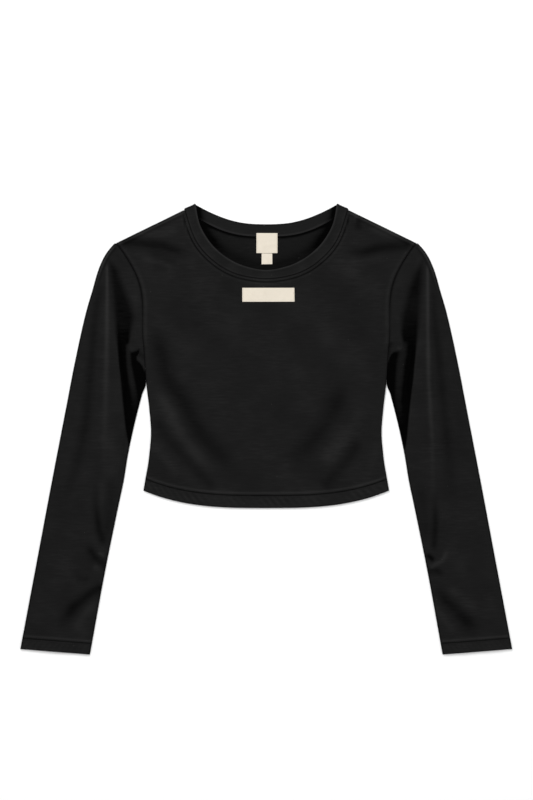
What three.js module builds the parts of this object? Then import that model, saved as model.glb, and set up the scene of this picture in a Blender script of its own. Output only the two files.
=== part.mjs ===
// A long-sleeved crop top in fine jersey, laid flat on its back.
// Millimetres, +Z up. X runs across the garment and +Y towards the neck.
// The front lies on the back, and each sleeve is one flattened tube, open at armhole and cuff.
import * as THREE from "three";

// Thicknesses and clearances
const CLOTH = 1.2; // one layer of jersey
const BAND = 1.6; // the folded neckband
const LABEL = 0.8; // a woven label
const GAP = 0.3; // between pieces that are sewn together or lie on each other
const MOUTH_GAP = 0.45; // across the slanted armhole seam
const BAND_GAP = 0.5; // at the curved neckline seam, whose straight steps bow by 0.2
const HEM_RISE = 0.6; // how far a turned-up hem stands above the single cloth
const HEM_STEP = 1.5; // length over which it rises
const EDGE = (2 * CLOTH + GAP) / 2; // radius of a folded edge
const LAYER_TOP = 2 * EDGE; // top of two layers lying on each other

// Body, right half. The left half mirrors it.
const HEM = { centre: -110, corner: -85.5, halfWidth: 172, power: 3, share: 0.0625, sidePower: 1.12 };
const NECK_POINT = { x: 114.5, y: 307.5 };
const BAND_END = { x: 98.5, y: 313.4 }; // where the free edge folds over at the neck point
const SHOULDER_POINT = { x: 210, y: 261 };
const UNDERARM_Y = 116;
const SIDE_BEND = 3; // how fast the panel's columns straighten away from the side
const SIDE = [
  { y: HEM.corner, x: HEM.halfWidth },
  { y: -71, x: 169.5 },
  { y: -37, x: 164 },
  { y: -4, x: 161.5 },
  { y: 30, x: 164 },
  { y: 64, x: 168 },
  { y: UNDERARM_Y, x: 171.5 },
  { y: 132, x: 173 },
  { y: 174, x: 173 },
  { y: 191, x: 174.5 },
  { y: 209, x: 179 },
  { y: 227.5, x: 187.5 },
  { y: 247, x: 199.5 },
  { y: SHOULDER_POINT.y, x: SHOULDER_POINT.x },
];

// Neckband, from the middle to the neck point: its free edge and its sewn edge
const NECK_FRONT = [
  { freeX: 0, freeY: 223.5, seamX: 0, seamY: 210.5 },
  { freeX: 30, freeY: 229, seamX: 34, seamY: 215 },
  { freeX: 52.5, freeY: 239.5, seamX: 58, seamY: 224.5 },
  { freeX: 70.5, freeY: 253.5, seamX: 77, seamY: 238 },
  { freeX: 83.5, freeY: 269.5, seamX: 93, seamY: 255 },
  { freeX: 93.5, freeY: 289.5, seamX: 104, seamY: 275 },
  { freeX: BAND_END.x, freeY: BAND_END.y, seamX: NECK_POINT.x, seamY: NECK_POINT.y },
];
const NECK_BACK = [
  { freeX: 0, freeY: 287.5, seamX: 0, seamY: 270 },
  { freeX: 29.5, freeY: 289, seamX: 33, seamY: 271.5 },
  { freeX: 54, freeY: 294.5, seamX: 60, seamY: 278 },
  { freeX: 78, freeY: 304, seamX: 87, seamY: 290.5 },
  { freeX: BAND_END.x, freeY: BAND_END.y, seamX: NECK_POINT.x, seamY: NECK_POINT.y },
];

// Sleeve edges, as distances from the middle of the garment
const SLEEVE_OUTER = [
  { y: -307.5, x: 344.5 },
  { y: -172, x: 319 },
  { y: -71, x: 300 },
  { y: 30, x: 280.5 },
  { y: 97, x: 267.5 },
  { y: 164, x: 252.5 },
  { y: 195, x: 243.5 },
  { y: 221, x: 236 },
  { y: 237, x: 229.5 },
  { y: 246, x: 224.5 },
  { y: 254, x: 218.5 },
  { y: 262, x: 211 },
];
const SLEEVE_INNER = [
  { y: -315, x: 247 },
  { y: -205, x: 227 },
  { y: -104, x: 206.5 },
  { y: -71, x: 199.5 },
  { y: -37, x: 194 },
  { y: -3, x: 187 },
  { y: 30, x: 179 },
  { y: 47, x: 174.5 },
  { y: 67, x: 170 },
  { y: 90, x: 171 },
  { y: UNDERARM_Y, x: 172 },
];
const SLEEVE = { top: 258, cuffInner: -315, cuffOuter: -307.5, cuffHem: 19.5 };

// The folds of each sleeve. lip and ridge are shares of the way from the inner to the outer edge,
// and the other columns are heights of the cloth's outer face.
const LEFT_FOLDS = [
  { y: -315, lip: 0.1, ridge: 0.4, seamZ: 2.7, footZ: 3, lipZ: 3.1, ridgeZ: 3.5, outZ: 3.2 },
  { y: -295, lip: 0.1, ridge: 0.4, seamZ: 2.7, footZ: 3.1, lipZ: 3.3, ridgeZ: 4, outZ: 3.5 },
  { y: -130, lip: 0.1, ridge: 0.38, seamZ: 2.7, footZ: 3.3, lipZ: 4, ridgeZ: 5.2, outZ: 4.3 },
  { y: -40, lip: 0.09, ridge: 0.36, seamZ: 2.7, footZ: 3.1, lipZ: 4, ridgeZ: 5.6, outZ: 4.5 },
  { y: -11, lip: 0.1, ridge: 0.38, seamZ: 2.7, footZ: 3, lipZ: 4.6, ridgeZ: 5.8, outZ: 4.5 },
  { y: 44, lip: 0.25, ridge: 0.49, seamZ: 3, footZ: 2.9, lipZ: 5.6, ridgeZ: 6.2, outZ: 4.6 },
  { y: 90, lip: 0.35, ridge: 0.55, seamZ: 3.6, footZ: 2.9, lipZ: 6.1, ridgeZ: 6.3, outZ: 4.7 },
  { y: 125, lip: 0.41, ridge: 0.58, seamZ: 4, footZ: 2.9, lipZ: 6, ridgeZ: 6.3, outZ: 4.7 },
  { y: 171, lip: 0.52, ridge: 0.65, seamZ: 4.1, footZ: 3.2, lipZ: 5.5, ridgeZ: 5.9, outZ: 4.6 },
  { y: 230, lip: 0.66, ridge: 0.75, seamZ: 3.7, footZ: 3.6, lipZ: 4.2, ridgeZ: 4.4, outZ: 3.9 },
  { y: 258, lip: 0.6, ridge: 0.75, seamZ: 2.9, footZ: 3, lipZ: 3.1, ridgeZ: 3.1, outZ: 2.9 },
];
const RIGHT_FOLDS = [
  { y: -315, lip: 0.1, ridge: 0.34, seamZ: 2.7, footZ: 3, lipZ: 3.1, ridgeZ: 3.5, outZ: 3.2 },
  { y: -295, lip: 0.1, ridge: 0.34, seamZ: 2.7, footZ: 3.1, lipZ: 3.3, ridgeZ: 4, outZ: 3.5 },
  { y: -130, lip: 0.09, ridge: 0.26, seamZ: 2.7, footZ: 3.3, lipZ: 4.2, ridgeZ: 5.3, outZ: 4.3 },
  { y: -47, lip: 0.09, ridge: 0.35, seamZ: 2.7, footZ: 3.1, lipZ: 4.2, ridgeZ: 5.8, outZ: 4.5 },
  { y: -1, lip: 0.13, ridge: 0.44, seamZ: 2.7, footZ: 3, lipZ: 5, ridgeZ: 6, outZ: 4.5 },
  { y: 44, lip: 0.27, ridge: 0.53, seamZ: 3, footZ: 2.9, lipZ: 5.7, ridgeZ: 6.2, outZ: 4.6 },
  { y: 90, lip: 0.35, ridge: 0.58, seamZ: 3.6, footZ: 2.9, lipZ: 6.1, ridgeZ: 6.3, outZ: 4.7 },
  { y: 125, lip: 0.41, ridge: 0.61, seamZ: 4, footZ: 2.9, lipZ: 5.9, ridgeZ: 6.3, outZ: 4.7 },
  { y: 185, lip: 0.53, ridge: 0.71, seamZ: 4.1, footZ: 3.3, lipZ: 5, ridgeZ: 5.5, outZ: 4.5 },
  { y: 230, lip: 0.58, ridge: 0.8, seamZ: 3.7, footZ: 3.6, lipZ: 4.1, ridgeZ: 4.4, outZ: 3.9 },
  { y: 258, lip: 0.6, ridge: 0.8, seamZ: 2.9, footZ: 3, lipZ: 3.1, ridgeZ: 3.1, outZ: 2.9 },
];
const LIP_DROP = 7; // how far inside the lip the cloth reaches the bottom of the fold

// Soft diagonal folds of the front. depth is upwards, so a trough is negative.
const FRONT_FOLDS = [
  { depth: -1.5, width: 11, path: [[-153, 136], [-117, 72], [-103, 23], [-79, -25], [-55, -52], [-33, -68]] },
  { depth: 0.9, width: 10, path: [[-149, 46], [-125, -1], [-103, -32], [-81, -61]] },
  { depth: -0.9, width: 8, path: [[-149, 10], [-135, -12], [-114, -40], [-95, -61], [-76, -80]] },
  { depth: -1.4, width: 11, path: [[101, 51], [84, 10], [73, -11], [54, -32]] },
  { depth: 0.9, width: 10, path: [[135, 10], [107, -25], [84, -47]] },
  { depth: -0.8, width: 8, path: [[128, -19], [112, -47], [89, -75]] },
  { depth: -1.2, width: 9, path: [[-190, 258], [-148, 254], [-106, 246]] },
  { depth: -1.1, width: 8, path: [[99, 245], [136, 246], [196, 258]] },
];
const DOME = { height: 2.4, power: 6, hemReach: 70, neckFrom: 150, neckTo: 290, neckLeft: 0.3 };
const ARMHOLE_LIFT = { height: 1.4, from: 110, full: 150, fadeFrom: 205, to: 255, reach: 60 };

// Labels: middle, size and how many cells across and along
const CHEST_LABEL = { x: 3, y: 188.5, width: 73, length: 19.5, across: 10, along: 4 };
const NECK_LABEL = { x: 1, y: 261, width: 29.5, length: 28, across: 4, along: 8 };
const SIZE_TAB = { x: 1, y: 239, width: 15, length: 15.2, across: 2, along: 2 };
const NECK_LABEL_DROP = 9; // length over which the neck label comes down from the band to the back

// Mesh divisions
const FRONT_CELLS = { neck: 14, shoulder: 7, along: 22 };
const OUTLINE_STEPS = { hem: 14, side: 26, shoulder: 2, neck: 14 };
const BAND_STEPS = { front: 28, fold: 4, back: 14 };
const SLEEVE_ROWS = { mouth: 10, mouthEase: 1.35, arm: 18 };
const COLUMNS_OUT = [0.3, 0.6, 0.85, 1]; // shares of the way from the ridge to the outer edge
const NEAR = 0.01; // half the width over which a slope is taken, as a share of the row

const mix = (a, b, share) => a + (b - a) * share;
const clamp = (value) => Math.min(1, Math.max(0, value));
const ease = (from, to, value) => {
  const share = clamp((value - from) / (to - from));
  return share * share * (3 - 2 * share);
};

// A smooth value between rows sorted by one column, with no overshoot
function between(rows, key, column, at) {
  const last = rows.length - 1;
  if (at <= rows[0][key]) return rows[0][column];
  if (at >= rows[last][key]) return rows[last][column];
  let i = 0;
  while (rows[i + 1][key] < at) i += 1;
  const slope = (k) => (rows[k + 1][column] - rows[k][column]) / (rows[k + 1][key] - rows[k][key]);
  const tangent = (k) => {
    if (k === 0) return slope(0);
    if (k === last) return slope(last - 1);
    const before = slope(k - 1);
    const after = slope(k);
    return before * after <= 0 ? 0 : (2 * before * after) / (before + after);
  };
  const step = rows[i + 1][key] - rows[i][key];
  const t = (at - rows[i][key]) / step;
  const rise = rows[i + 1][column] - rows[i][column];
  const start = tangent(i) * step;
  const end = tangent(i + 1) * step;
  return rows[i][column] + t * (start + t * (3 * rise - 2 * start - end + t * (start + end - 2 * rise)));
}

// The outlines of the body
const hemY = (x) => mix(HEM.centre, HEM.corner, Math.abs(x / HEM.halfWidth) ** HEM.power);
const sideX = (y) => between(SIDE, "y", "x", y);

// The sewn or free edge of the band, from the middle to the neck point
function edgeCurve(rows, edge) {
  return new THREE.SplineCurve(rows.map((row) => new THREE.Vector2(row[edge + "X"], row[edge + "Y"])));
}

// The top of one panel: the neckline seam and then the shoulder, from the middle outwards
function topEdge(rows) {
  const neck = edgeCurve(rows, "seam");
  const start = new THREE.Vector2(NECK_POINT.x, NECK_POINT.y);
  const end = new THREE.Vector2(SHOULDER_POINT.x, SHOULDER_POINT.y);
  const neckShare = neck.getLength() / (neck.getLength() + start.distanceTo(end));
  const at = (u) => {
    if (u <= neckShare) return neck.getPointAt(u / neckShare);
    return start.clone().lerp(end, (u - neckShare) / (1 - neckShare));
  };
  return { at, neckShare };
}

// A place on the right half of a panel. u runs from the middle to the side and w from the hem to
// the top, in straight columns that bend towards the curved side only near it.
function panelPlace(top, u, w) {
  const hem = new THREE.Vector2(HEM.halfWidth * u, hemY(HEM.halfWidth * u));
  const straight = mix(HEM.corner, SHOULDER_POINT.y, w);
  const sideAt = mix(HEM.corner, SHOULDER_POINT.y, w ** HEM.sidePower);
  const bend = u ** SIDE_BEND;
  const x = mix(hem.x, top.at(u).x, w) + bend * (sideX(sideAt) - mix(HEM.halfWidth, SHOULDER_POINT.x, w));
  const y = mix(hem.y, top.at(u).y, w) + bend * (sideAt - straight);
  return [x, y];
}

// Height that soft folds add at a place
function foldHeight(folds, x, y) {
  let height = 0;
  for (const { depth, width, path } of folds) {
    let nearest = Infinity;
    let along = 0;
    for (let i = 0; i + 1 < path.length; i += 1) {
      const [ax, ay] = path[i];
      const [bx, by] = path[i + 1];
      const share = clamp(((x - ax) * (bx - ax) + (y - ay) * (by - ay)) / ((bx - ax) ** 2 + (by - ay) ** 2));
      const distance = Math.hypot(x - mix(ax, bx, share), y - mix(ay, by, share));
      if (distance < nearest) {
        nearest = distance;
        along = (i + share) / (path.length - 1);
      }
    }
    const taper = ease(0, 0.3, along) * ease(1, 0.7, along);
    height += depth * taper * Math.exp(-((nearest / width) ** 2));
  }
  return height;
}

// Height of the front's outer face
function frontTop(x, y) {
  const across = Math.min(1, Math.abs(x) / sideX(y));
  const neck = mix(1, DOME.neckLeft, ease(DOME.neckFrom, DOME.neckTo, y));
  const rise = DOME.height * (1 - across ** DOME.power) * ease(0, DOME.hemReach, y - hemY(x) + 12) * neck;
  const { height, from, full, fadeFrom, to, reach } = ARMHOLE_LIFT;
  const near = 1 - ease(0, reach, sideX(y) - Math.abs(x));
  const lift = height * near * ease(from, full, y) * (1 - ease(fadeFrom, to, y));
  return Math.max(LAYER_TOP, LAYER_TOP + rise + lift + foldHeight(FRONT_FOLDS, x, y));
}

// A closed body from points and four-sided faces, turned so that its faces point outwards
function body(name, points, faces, finish) {
  const index = [];
  for (const [a, b, c, d] of faces) index.push(a, b, c, a, c, d);
  const corner = (i) => new THREE.Vector3(...points[i]);
  let volume = 0;
  for (let i = 0; i < index.length; i += 3) {
    volume += corner(index[i]).dot(corner(index[i + 1]).cross(corner(index[i + 2])));
  }
  if (volume < 0) index.reverse();
  const geometry = new THREE.BufferGeometry();
  geometry.setAttribute("position", new THREE.Float32BufferAttribute(points.flat(), 3));
  geometry.setIndex(index);
  geometry.computeVertexNormals();
  const mesh = new THREE.Mesh(geometry, finish);
  mesh.name = name;
  return mesh;
}

// A sheet of cells with an upper and a lower face, closed round its rim.
// place(i, j) gives x, y, the upper height and the lower height.
function sheet(name, across, along, place, finish) {
  const points = [];
  const upper = (i, j) => 2 * (j * (across + 1) + i);
  const lower = (i, j) => upper(i, j) + 1;
  const faces = [];
  for (let j = 0; j <= along; j += 1) {
    for (let i = 0; i <= across; i += 1) {
      const [x, y, high, low] = place(i, j);
      points.push([x, y, high], [x, y, low]);
      if (i < across && j < along) {
        faces.push([upper(i, j), upper(i + 1, j), upper(i + 1, j + 1), upper(i, j + 1)]);
        faces.push([lower(i, j), lower(i, j + 1), lower(i + 1, j + 1), lower(i + 1, j)]);
      }
    }
  }
  const rim = (a, b) => faces.push([upper(...a), lower(...a), lower(...b), upper(...b)]);
  for (let i = 0; i < across; i += 1) {
    rim([i, 0], [i + 1, 0]);
    rim([i + 1, along], [i, along]);
  }
  for (let j = 0; j < along; j += 1) {
    rim([0, j + 1], [0, j]);
    rim([across, j], [across, j + 1]);
  }
  return body(name, points, faces, finish);
}

// The front: two mirrored halves in one sheet, with a raised hem
function frontPanel(finish) {
  const top = topEdge(NECK_FRONT);
  const { neck, shoulder, along } = FRONT_CELLS;
  const levels = [0, HEM.share];
  for (let j = 0; j <= along; j += 1) levels.push(mix(HEM.share + 0.005, 1, j / along));
  const across = neck + shoulder;
  const place = (i, j) => {
    const column = Math.abs(i - across);
    const pastNeck = (column - neck) / shoulder;
    const u = column <= neck ? (top.neckShare * column) / neck : mix(top.neckShare, 1, pastNeck);
    const [xRight, y] = panelPlace(top, u, levels[j]);
    const x = Math.sign(i - across) * xRight;
    const high = frontTop(x, y);
    return [x, y, j < 2 ? high + HEM_RISE : high, high - CLOTH];
  };
  return sheet("front_panel", 2 * across, levels.length - 1, place, finish);
}

// The back: a flat layer inside the same outline, with the higher neckline
function backPanel(finish) {
  const half = [];
  for (let i = 0; i < OUTLINE_STEPS.hem; i += 1) {
    const x = (HEM.halfWidth * i) / OUTLINE_STEPS.hem;
    half.push([x, hemY(x)]);
  }
  for (let i = 0; i < OUTLINE_STEPS.side; i += 1) {
    const y = mix(HEM.corner, SHOULDER_POINT.y, i / OUTLINE_STEPS.side);
    half.push([sideX(y), y]);
  }
  for (let i = 0; i < OUTLINE_STEPS.shoulder; i += 1) {
    const share = i / OUTLINE_STEPS.shoulder;
    half.push([mix(SHOULDER_POINT.x, NECK_POINT.x, share), mix(SHOULDER_POINT.y, NECK_POINT.y, share)]);
  }
  const neck = edgeCurve(NECK_BACK, "seam");
  for (let i = 0; i < OUTLINE_STEPS.neck; i += 1) {
    const place = neck.getPointAt(1 - i / OUTLINE_STEPS.neck);
    half.push([place.x, place.y]);
  }
  half.push([0, NECK_BACK[0].seamY]);
  const left = half.slice(1, -1).reverse().map(([x, y]) => [-x, y]);
  const outline = new THREE.Shape([...half, ...left].map(([x, y]) => new THREE.Vector2(x, y)));
  const geometry = new THREE.ExtrudeGeometry(outline, { depth: CLOTH, bevelEnabled: false });
  const mesh = new THREE.Mesh(geometry, finish);
  mesh.name = "back_panel";
  return mesh;
}

// Height of a sleeve's upper face across one row. v runs from the inner to the outer edge.
function sleeveTop(folds, y, width, v) {
  const row = {};
  for (const column of ["lip", "ridge", "seamZ", "footZ", "lipZ", "ridgeZ", "outZ"]) {
    row[column] = between(folds, "y", column, y);
  }
  const foot = Math.max(0.45 * row.lip, row.lip - LIP_DROP / width);
  const profile = [
    { v: 0, z: row.seamZ },
    { v: foot / 2, z: mix(row.seamZ, row.footZ, 0.4) },
    { v: foot, z: row.footZ },
    { v: row.lip, z: row.lipZ },
    { v: row.ridge, z: row.ridgeZ },
    { v: mix(row.ridge, 1, 0.6), z: row.outZ },
    { v: 1, z: LAYER_TOP },
  ];
  return { height: between(profile, "v", "z", v), foot, lip: row.lip, ridge: row.ridge };
}

// Where the rows of a sleeve meet its inner edge, from the top of the armhole to the cuff
function sleeveRows(cuffLine) {
  const { mouth, mouthEase, arm } = SLEEVE_ROWS;
  const rows = [];
  for (let k = 0; k <= mouth; k += 1) rows.push(mix(SLEEVE.top, UNDERARM_Y, (k / mouth) ** mouthEase));
  for (let k = 1; k <= arm; k += 1) rows.push(mix(UNDERARM_Y, cuffLine + HEM_STEP, k / arm));
  return [...rows, cuffLine, SLEEVE.cuffInner];
}

// The two ends of a row. Above the underarm it starts at the armhole seam, and below it at a fold.
function rowEnds(yInner, seam) {
  const share = (SLEEVE.top - yInner) / (SLEEVE.top - SLEEVE.cuffInner);
  const yOuter = mix(SLEEVE.top, SLEEVE.cuffOuter, share);
  const edgeIn = seam ? sideX(yInner) + MOUTH_GAP : between(SLEEVE_INNER, "y", "x", yInner);
  return { yInner, yOuter, edgeIn, edgeOut: between(SLEEVE_OUTER, "y", "x", yOuter) };
}

// The points of one row: an outer and an inner line of cloth, above and below.
// add stores a point and gives its number.
function sleeveRing(folds, { yInner, yOuter, edgeIn, edgeOut }, open, rise, add) {
  const xIn = open ? edgeIn : edgeIn + EDGE;
  const xOut = edgeOut - EDGE;
  const width = xOut - xIn;
  const height = (v) => sleeveTop(folds, yInner, width, v).height;
  const { foot, lip, ridge } = sleeveTop(folds, yInner, width, 0);
  const columns = [0, foot / 2, foot, mix(foot, lip, 0.5), lip, ridge];
  for (const out of COLUMNS_OUT) columns.push(mix(ridge, 1, out));
  const ring = { open, upper: [], upperIn: [], lower: [], lowerIn: [] };
  for (const v of columns) {
    const x = mix(xIn, xOut, v);
    const y = mix(yInner, yOuter, v);
    const z = height(v);
    const run = Math.min(1, v + NEAR) - Math.max(0, v - NEAR);
    const slope = (height(Math.min(1, v + NEAR)) - height(Math.max(0, v - NEAR))) / (run * width);
    const wall = Math.min(CLOTH * Math.hypot(1, slope), z - CLOTH - GAP);
    ring.upper.push(add(x, y, z + rise));
    ring.upperIn.push(add(x, y, z - wall));
    ring.lower.push(add(x, y, 0));
    ring.lowerIn.push(add(x, y, CLOTH));
  }
  ring.foldOut = add(edgeOut, yOuter, EDGE);
  ring.foldOutIn = add(edgeOut - CLOTH, yOuter, EDGE);
  ring.foldIn = open ? null : add(edgeIn, yInner, EDGE);
  ring.foldInIn = open ? null : add(edgeIn + CLOTH, yInner, EDGE);
  return ring;
}

// Faces that join the rings: the outer and inner cloth, the armhole's rim, and the cuff's
function sleeveFaces(rings) {
  const outerLine = (ring) => [...ring.upper, ring.foldOut, ...ring.lower.slice().reverse()];
  const innerLine = (ring) => [...ring.upperIn, ring.foldOutIn, ...ring.lowerIn.slice().reverse()];
  const closed = (ring) => [[...outerLine(ring), ring.foldIn], [...innerLine(ring), ring.foldInIn]];
  const faces = [];
  const strip = (one, two, loop) => {
    const count = loop ? one.length : one.length - 1;
    for (let i = 0; i < count; i += 1) {
      const next = (i + 1) % one.length;
      faces.push([one[i], one[next], two[next], two[i]]);
    }
  };
  for (let r = 0; r + 1 < rings.length; r += 1) {
    const here = rings[r];
    const below = rings[r + 1];
    if (here.open) {
      strip(outerLine(here), outerLine(below), false);
      strip(innerLine(below), innerLine(here), false);
      faces.push([here.upper[0], below.upper[0], below.upperIn[0], here.upperIn[0]]);
      faces.push([below.lower[0], here.lower[0], here.lowerIn[0], below.lowerIn[0]]);
    } else {
      strip(closed(here)[0], closed(below)[0], true);
      strip(closed(below)[1], closed(here)[1], true);
    }
  }
  const underarm = rings.find((ring) => !ring.open);
  const rimIn = [underarm.lowerIn[0], underarm.foldInIn, underarm.upperIn[0]];
  const rimOut = [underarm.lower[0], underarm.foldIn, underarm.upper[0]];
  strip(rimIn, rimOut, false);
  strip(innerLine(rings[0]), outerLine(rings[0]), false);
  strip(...closed(rings.at(-1)), true);
  return faces;
}

// One sleeve: rings from the armhole down to the cuff, with a raised hem at the cuff.
// Above the underarm the rings are open towards the body, and that opening is the armhole.
function sleeve(name, mirror, folds, finish) {
  const points = [];
  const add = (x, y, z) => points.push([mirror * x, y, z]) - 1;
  const cuffLine = SLEEVE.cuffInner + SLEEVE.cuffHem;
  const rings = sleeveRows(cuffLine).map((yInner, r) => {
    const open = r < SLEEVE_ROWS.mouth;
    const ends = rowEnds(yInner, r <= SLEEVE_ROWS.mouth);
    return sleeveRing(folds, ends, open, yInner <= cuffLine ? HEM_RISE : 0, add);
  });
  return body(name, points, sleeveFaces(rings), finish);
}

// The neckband: a folded strip sewn into a ring. It lies on the back panel in front, turns over
// at the neck points and lies on the surface behind.
function neckband(finish) {
  const turn = BAND + GAP / 2;
  const fold = new THREE.Vector2(NECK_POINT.x - BAND_END.x, NECK_POINT.y - BAND_END.y).normalize();
  const outwards = new THREE.Vector2(-fold.y, fold.x);
  const half = [];
  const section = (free, sewn, angle) => {
    const seam = sewn.clone().lerp(free, BAND_GAP / sewn.distanceTo(free));
    const at = (place, radius) => [
      place.x + outwards.x * radius * Math.sin(angle),
      place.y + outwards.y * radius * Math.sin(angle),
      turn + radius * Math.cos(angle),
    ];
    half.push([at(free, turn), at(seam, turn), at(seam, GAP / 2), at(free, GAP / 2)]);
  };
  const strip = (rows, steps, from, to, angle) => {
    const free = edgeCurve(rows, "free");
    const seam = edgeCurve(rows, "seam");
    for (let i = 0; i <= steps; i += 1) {
      const t = mix(from, to, i / steps);
      section(free.getPointAt(t), seam.getPointAt(t), angle);
    }
  };
  strip(NECK_FRONT, BAND_STEPS.front, 0, 1, 0);
  const freeEnd = new THREE.Vector2(BAND_END.x, BAND_END.y);
  const seamEnd = new THREE.Vector2(NECK_POINT.x, NECK_POINT.y);
  for (let i = 1; i < BAND_STEPS.fold; i += 1) section(freeEnd, seamEnd, (Math.PI * i) / BAND_STEPS.fold);
  strip(NECK_BACK, BAND_STEPS.back, 1, 0, Math.PI);
  const left = half.slice(1, -1).reverse().map((corners) => corners.map(([x, y, z]) => [-x, y, z]));
  const ring = [...half, ...left];
  const faces = [];
  ring.forEach((corners, k) => {
    const next = (k + 1) % ring.length;
    for (let c = 0; c < 4; c += 1) {
      const d = (c + 1) % 4;
      faces.push([4 * k + c, 4 * k + d, 4 * next + d, 4 * next + c]);
    }
  });
  return body("neckband", ring.flat(), faces, finish);
}

// A woven label that lies on the height under it
function label(name, size, under, finish) {
  const place = (i, j) => {
    const x = size.x + size.width * (i / size.across - 0.5);
    const y = size.y + size.length * (j / size.along - 0.5);
    const low = under(x, y) + GAP;
    return [x, y, low + LABEL, low];
  };
  return sheet(name, size.across, size.along, place, finish);
}

// The neck label's upper end lies on the band, and the rest comes down to the back panel
function underNeckLabel(x, y) {
  const bandEdge = NECK_BACK[0].seamY;
  return mix(BAND, CLOTH, ease(bandEdge - 2, bandEdge - 2 - NECK_LABEL_DROP, y));
}

const jersey = new THREE.MeshStandardMaterial({ color: 0x1c1c1d, roughness: 0.85, metalness: 0 });
const rib = new THREE.MeshStandardMaterial({ color: 0x1a1a1b, roughness: 0.88, metalness: 0 });
const woven = new THREE.MeshStandardMaterial({ color: 0xe6dccb, roughness: 0.75, metalness: 0 });

const garment = new THREE.Group();
garment.add(backPanel(jersey));
garment.add(frontPanel(jersey));
garment.add(sleeve("left_sleeve", -1, LEFT_FOLDS, jersey));
garment.add(sleeve("right_sleeve", 1, RIGHT_FOLDS, jersey));
garment.add(neckband(rib));
garment.add(label("chest_label", CHEST_LABEL, frontTop, woven));
garment.add(label("neck_label", NECK_LABEL, underNeckLabel, woven));
garment.add(label("size_tab", SIZE_TAB, () => CLOTH, woven));

export default garment;
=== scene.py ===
"""Dress a long-sleeved crop top that lies flat on a pale floor.

Lengths in the tables and fields are in millimetres unless a name says otherwise. The frame is in metres,
and MM joins the two where a mesh is made.
"""

import logging
import math
from collections.abc import Callable
from dataclasses import dataclass, field, replace
from enum import Enum

import bpy
import numpy as np
from mathutils import Euler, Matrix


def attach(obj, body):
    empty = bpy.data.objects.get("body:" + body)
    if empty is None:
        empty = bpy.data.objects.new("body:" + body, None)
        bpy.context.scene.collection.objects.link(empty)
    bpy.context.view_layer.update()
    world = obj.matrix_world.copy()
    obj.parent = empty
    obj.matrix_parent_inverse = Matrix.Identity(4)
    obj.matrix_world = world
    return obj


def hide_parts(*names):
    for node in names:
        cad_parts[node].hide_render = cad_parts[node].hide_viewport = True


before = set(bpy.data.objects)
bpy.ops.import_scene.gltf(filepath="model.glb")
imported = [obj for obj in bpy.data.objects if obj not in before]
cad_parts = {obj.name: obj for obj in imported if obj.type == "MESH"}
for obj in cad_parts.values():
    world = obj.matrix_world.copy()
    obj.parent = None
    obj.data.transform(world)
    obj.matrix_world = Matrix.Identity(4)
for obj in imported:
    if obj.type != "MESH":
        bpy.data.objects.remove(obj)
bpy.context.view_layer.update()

LOG = logging.getLogger("crop_top")
MM = 0.001
ROOT = "root"
FAR = 1e9

Surface = Callable[[np.ndarray, np.ndarray], np.ndarray]

CLOTH = 1.2
BAND = 1.6
LABEL = 0.8
GAP = 0.3
SEAM_GAP = 0.05
EDGE = (2 * CLOTH + GAP) / 2
LAYER_TOP = 2 * EDGE
STITCH_RISE = 0.12
UNDER_STITCH = 0.2
RIM_PLACES = (0.2, 1.0)
RIM_FULLNESS = (0.0, 0.8, 1.0)
SEAM_WIDTH = 1.3
SEAM_SHADE = 0.6
# Painted shading that follows the rumples: a painted highlight where they rise, painted shade where they sink
RUMPLE_PAINTED_SHADING = 0.16
# Shares of the outer sides' painted shading that the inner sides of the front and the sleeves repeat
FRONT_INSIDE_PAINTED_SHADING = 0.2
SLEEVE_INSIDE_PAINTED_SHADING = 0.3

# The most of the room above it that a lower side may rise into
LIFT_SHARE = 0.8

NECK_POINT = (114.5, 307.5)
BAND_END = (98.5, 314.6)
SHOULDER_POINT = (210.0, 261.0)
UNDERARM_Y = 116.0

# Each row is a height on the body, then how far its side is from the middle
SIDE = np.array([
    (-85.5, 172), (-71, 169.5), (-37, 164), (-4, 161.5), (30, 164), (64, 168), (116, 171.5), (132, 173),
    (174, 173), (191, 174.5), (209, 179), (227.5, 187.5), (247, 199.5), (261, 210),
])

# Each row is the x and y of the neckband's free edge, then those of its seam, from the middle outwards
NECK_FRONT = np.array([
    (0, 223.5, 0, 210.5), (30, 229, 34, 215), (52.5, 239.5, 58, 224.5), (70.5, 253.5, 77, 238),
    (83.5, 269.5, 93, 255), (93.5, 289.5, 104, 275), (*BAND_END, *NECK_POINT),
])
NECK_BACK = np.array([
    (0, 287.5, 0, 270), (29.5, 289, 33, 271.5), (54, 294.5, 60, 278), (78, 304, 87, 290.5),
    (*BAND_END, *NECK_POINT),
])

# Each row is a height on the sleeve, then how far its edge is from the body's middle
SLEEVE_OUTER = np.array([
    (-307.5, 344.5), (-172, 319), (-71, 300), (30, 280.5), (97, 267.5), (164, 252.5), (195, 243.5),
    (221, 236), (237, 229.5), (246, 224.5), (254, 218.5), (262, 211),
])
SLEEVE_INNER = np.array([
    (-315, 247), (-205, 227), (-104, 206.5), (-71, 199.5), (-37, 194), (-3, 187), (30, 179), (47, 174.5),
    (67, 170), (90, 171), (116, 172),
])

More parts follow.
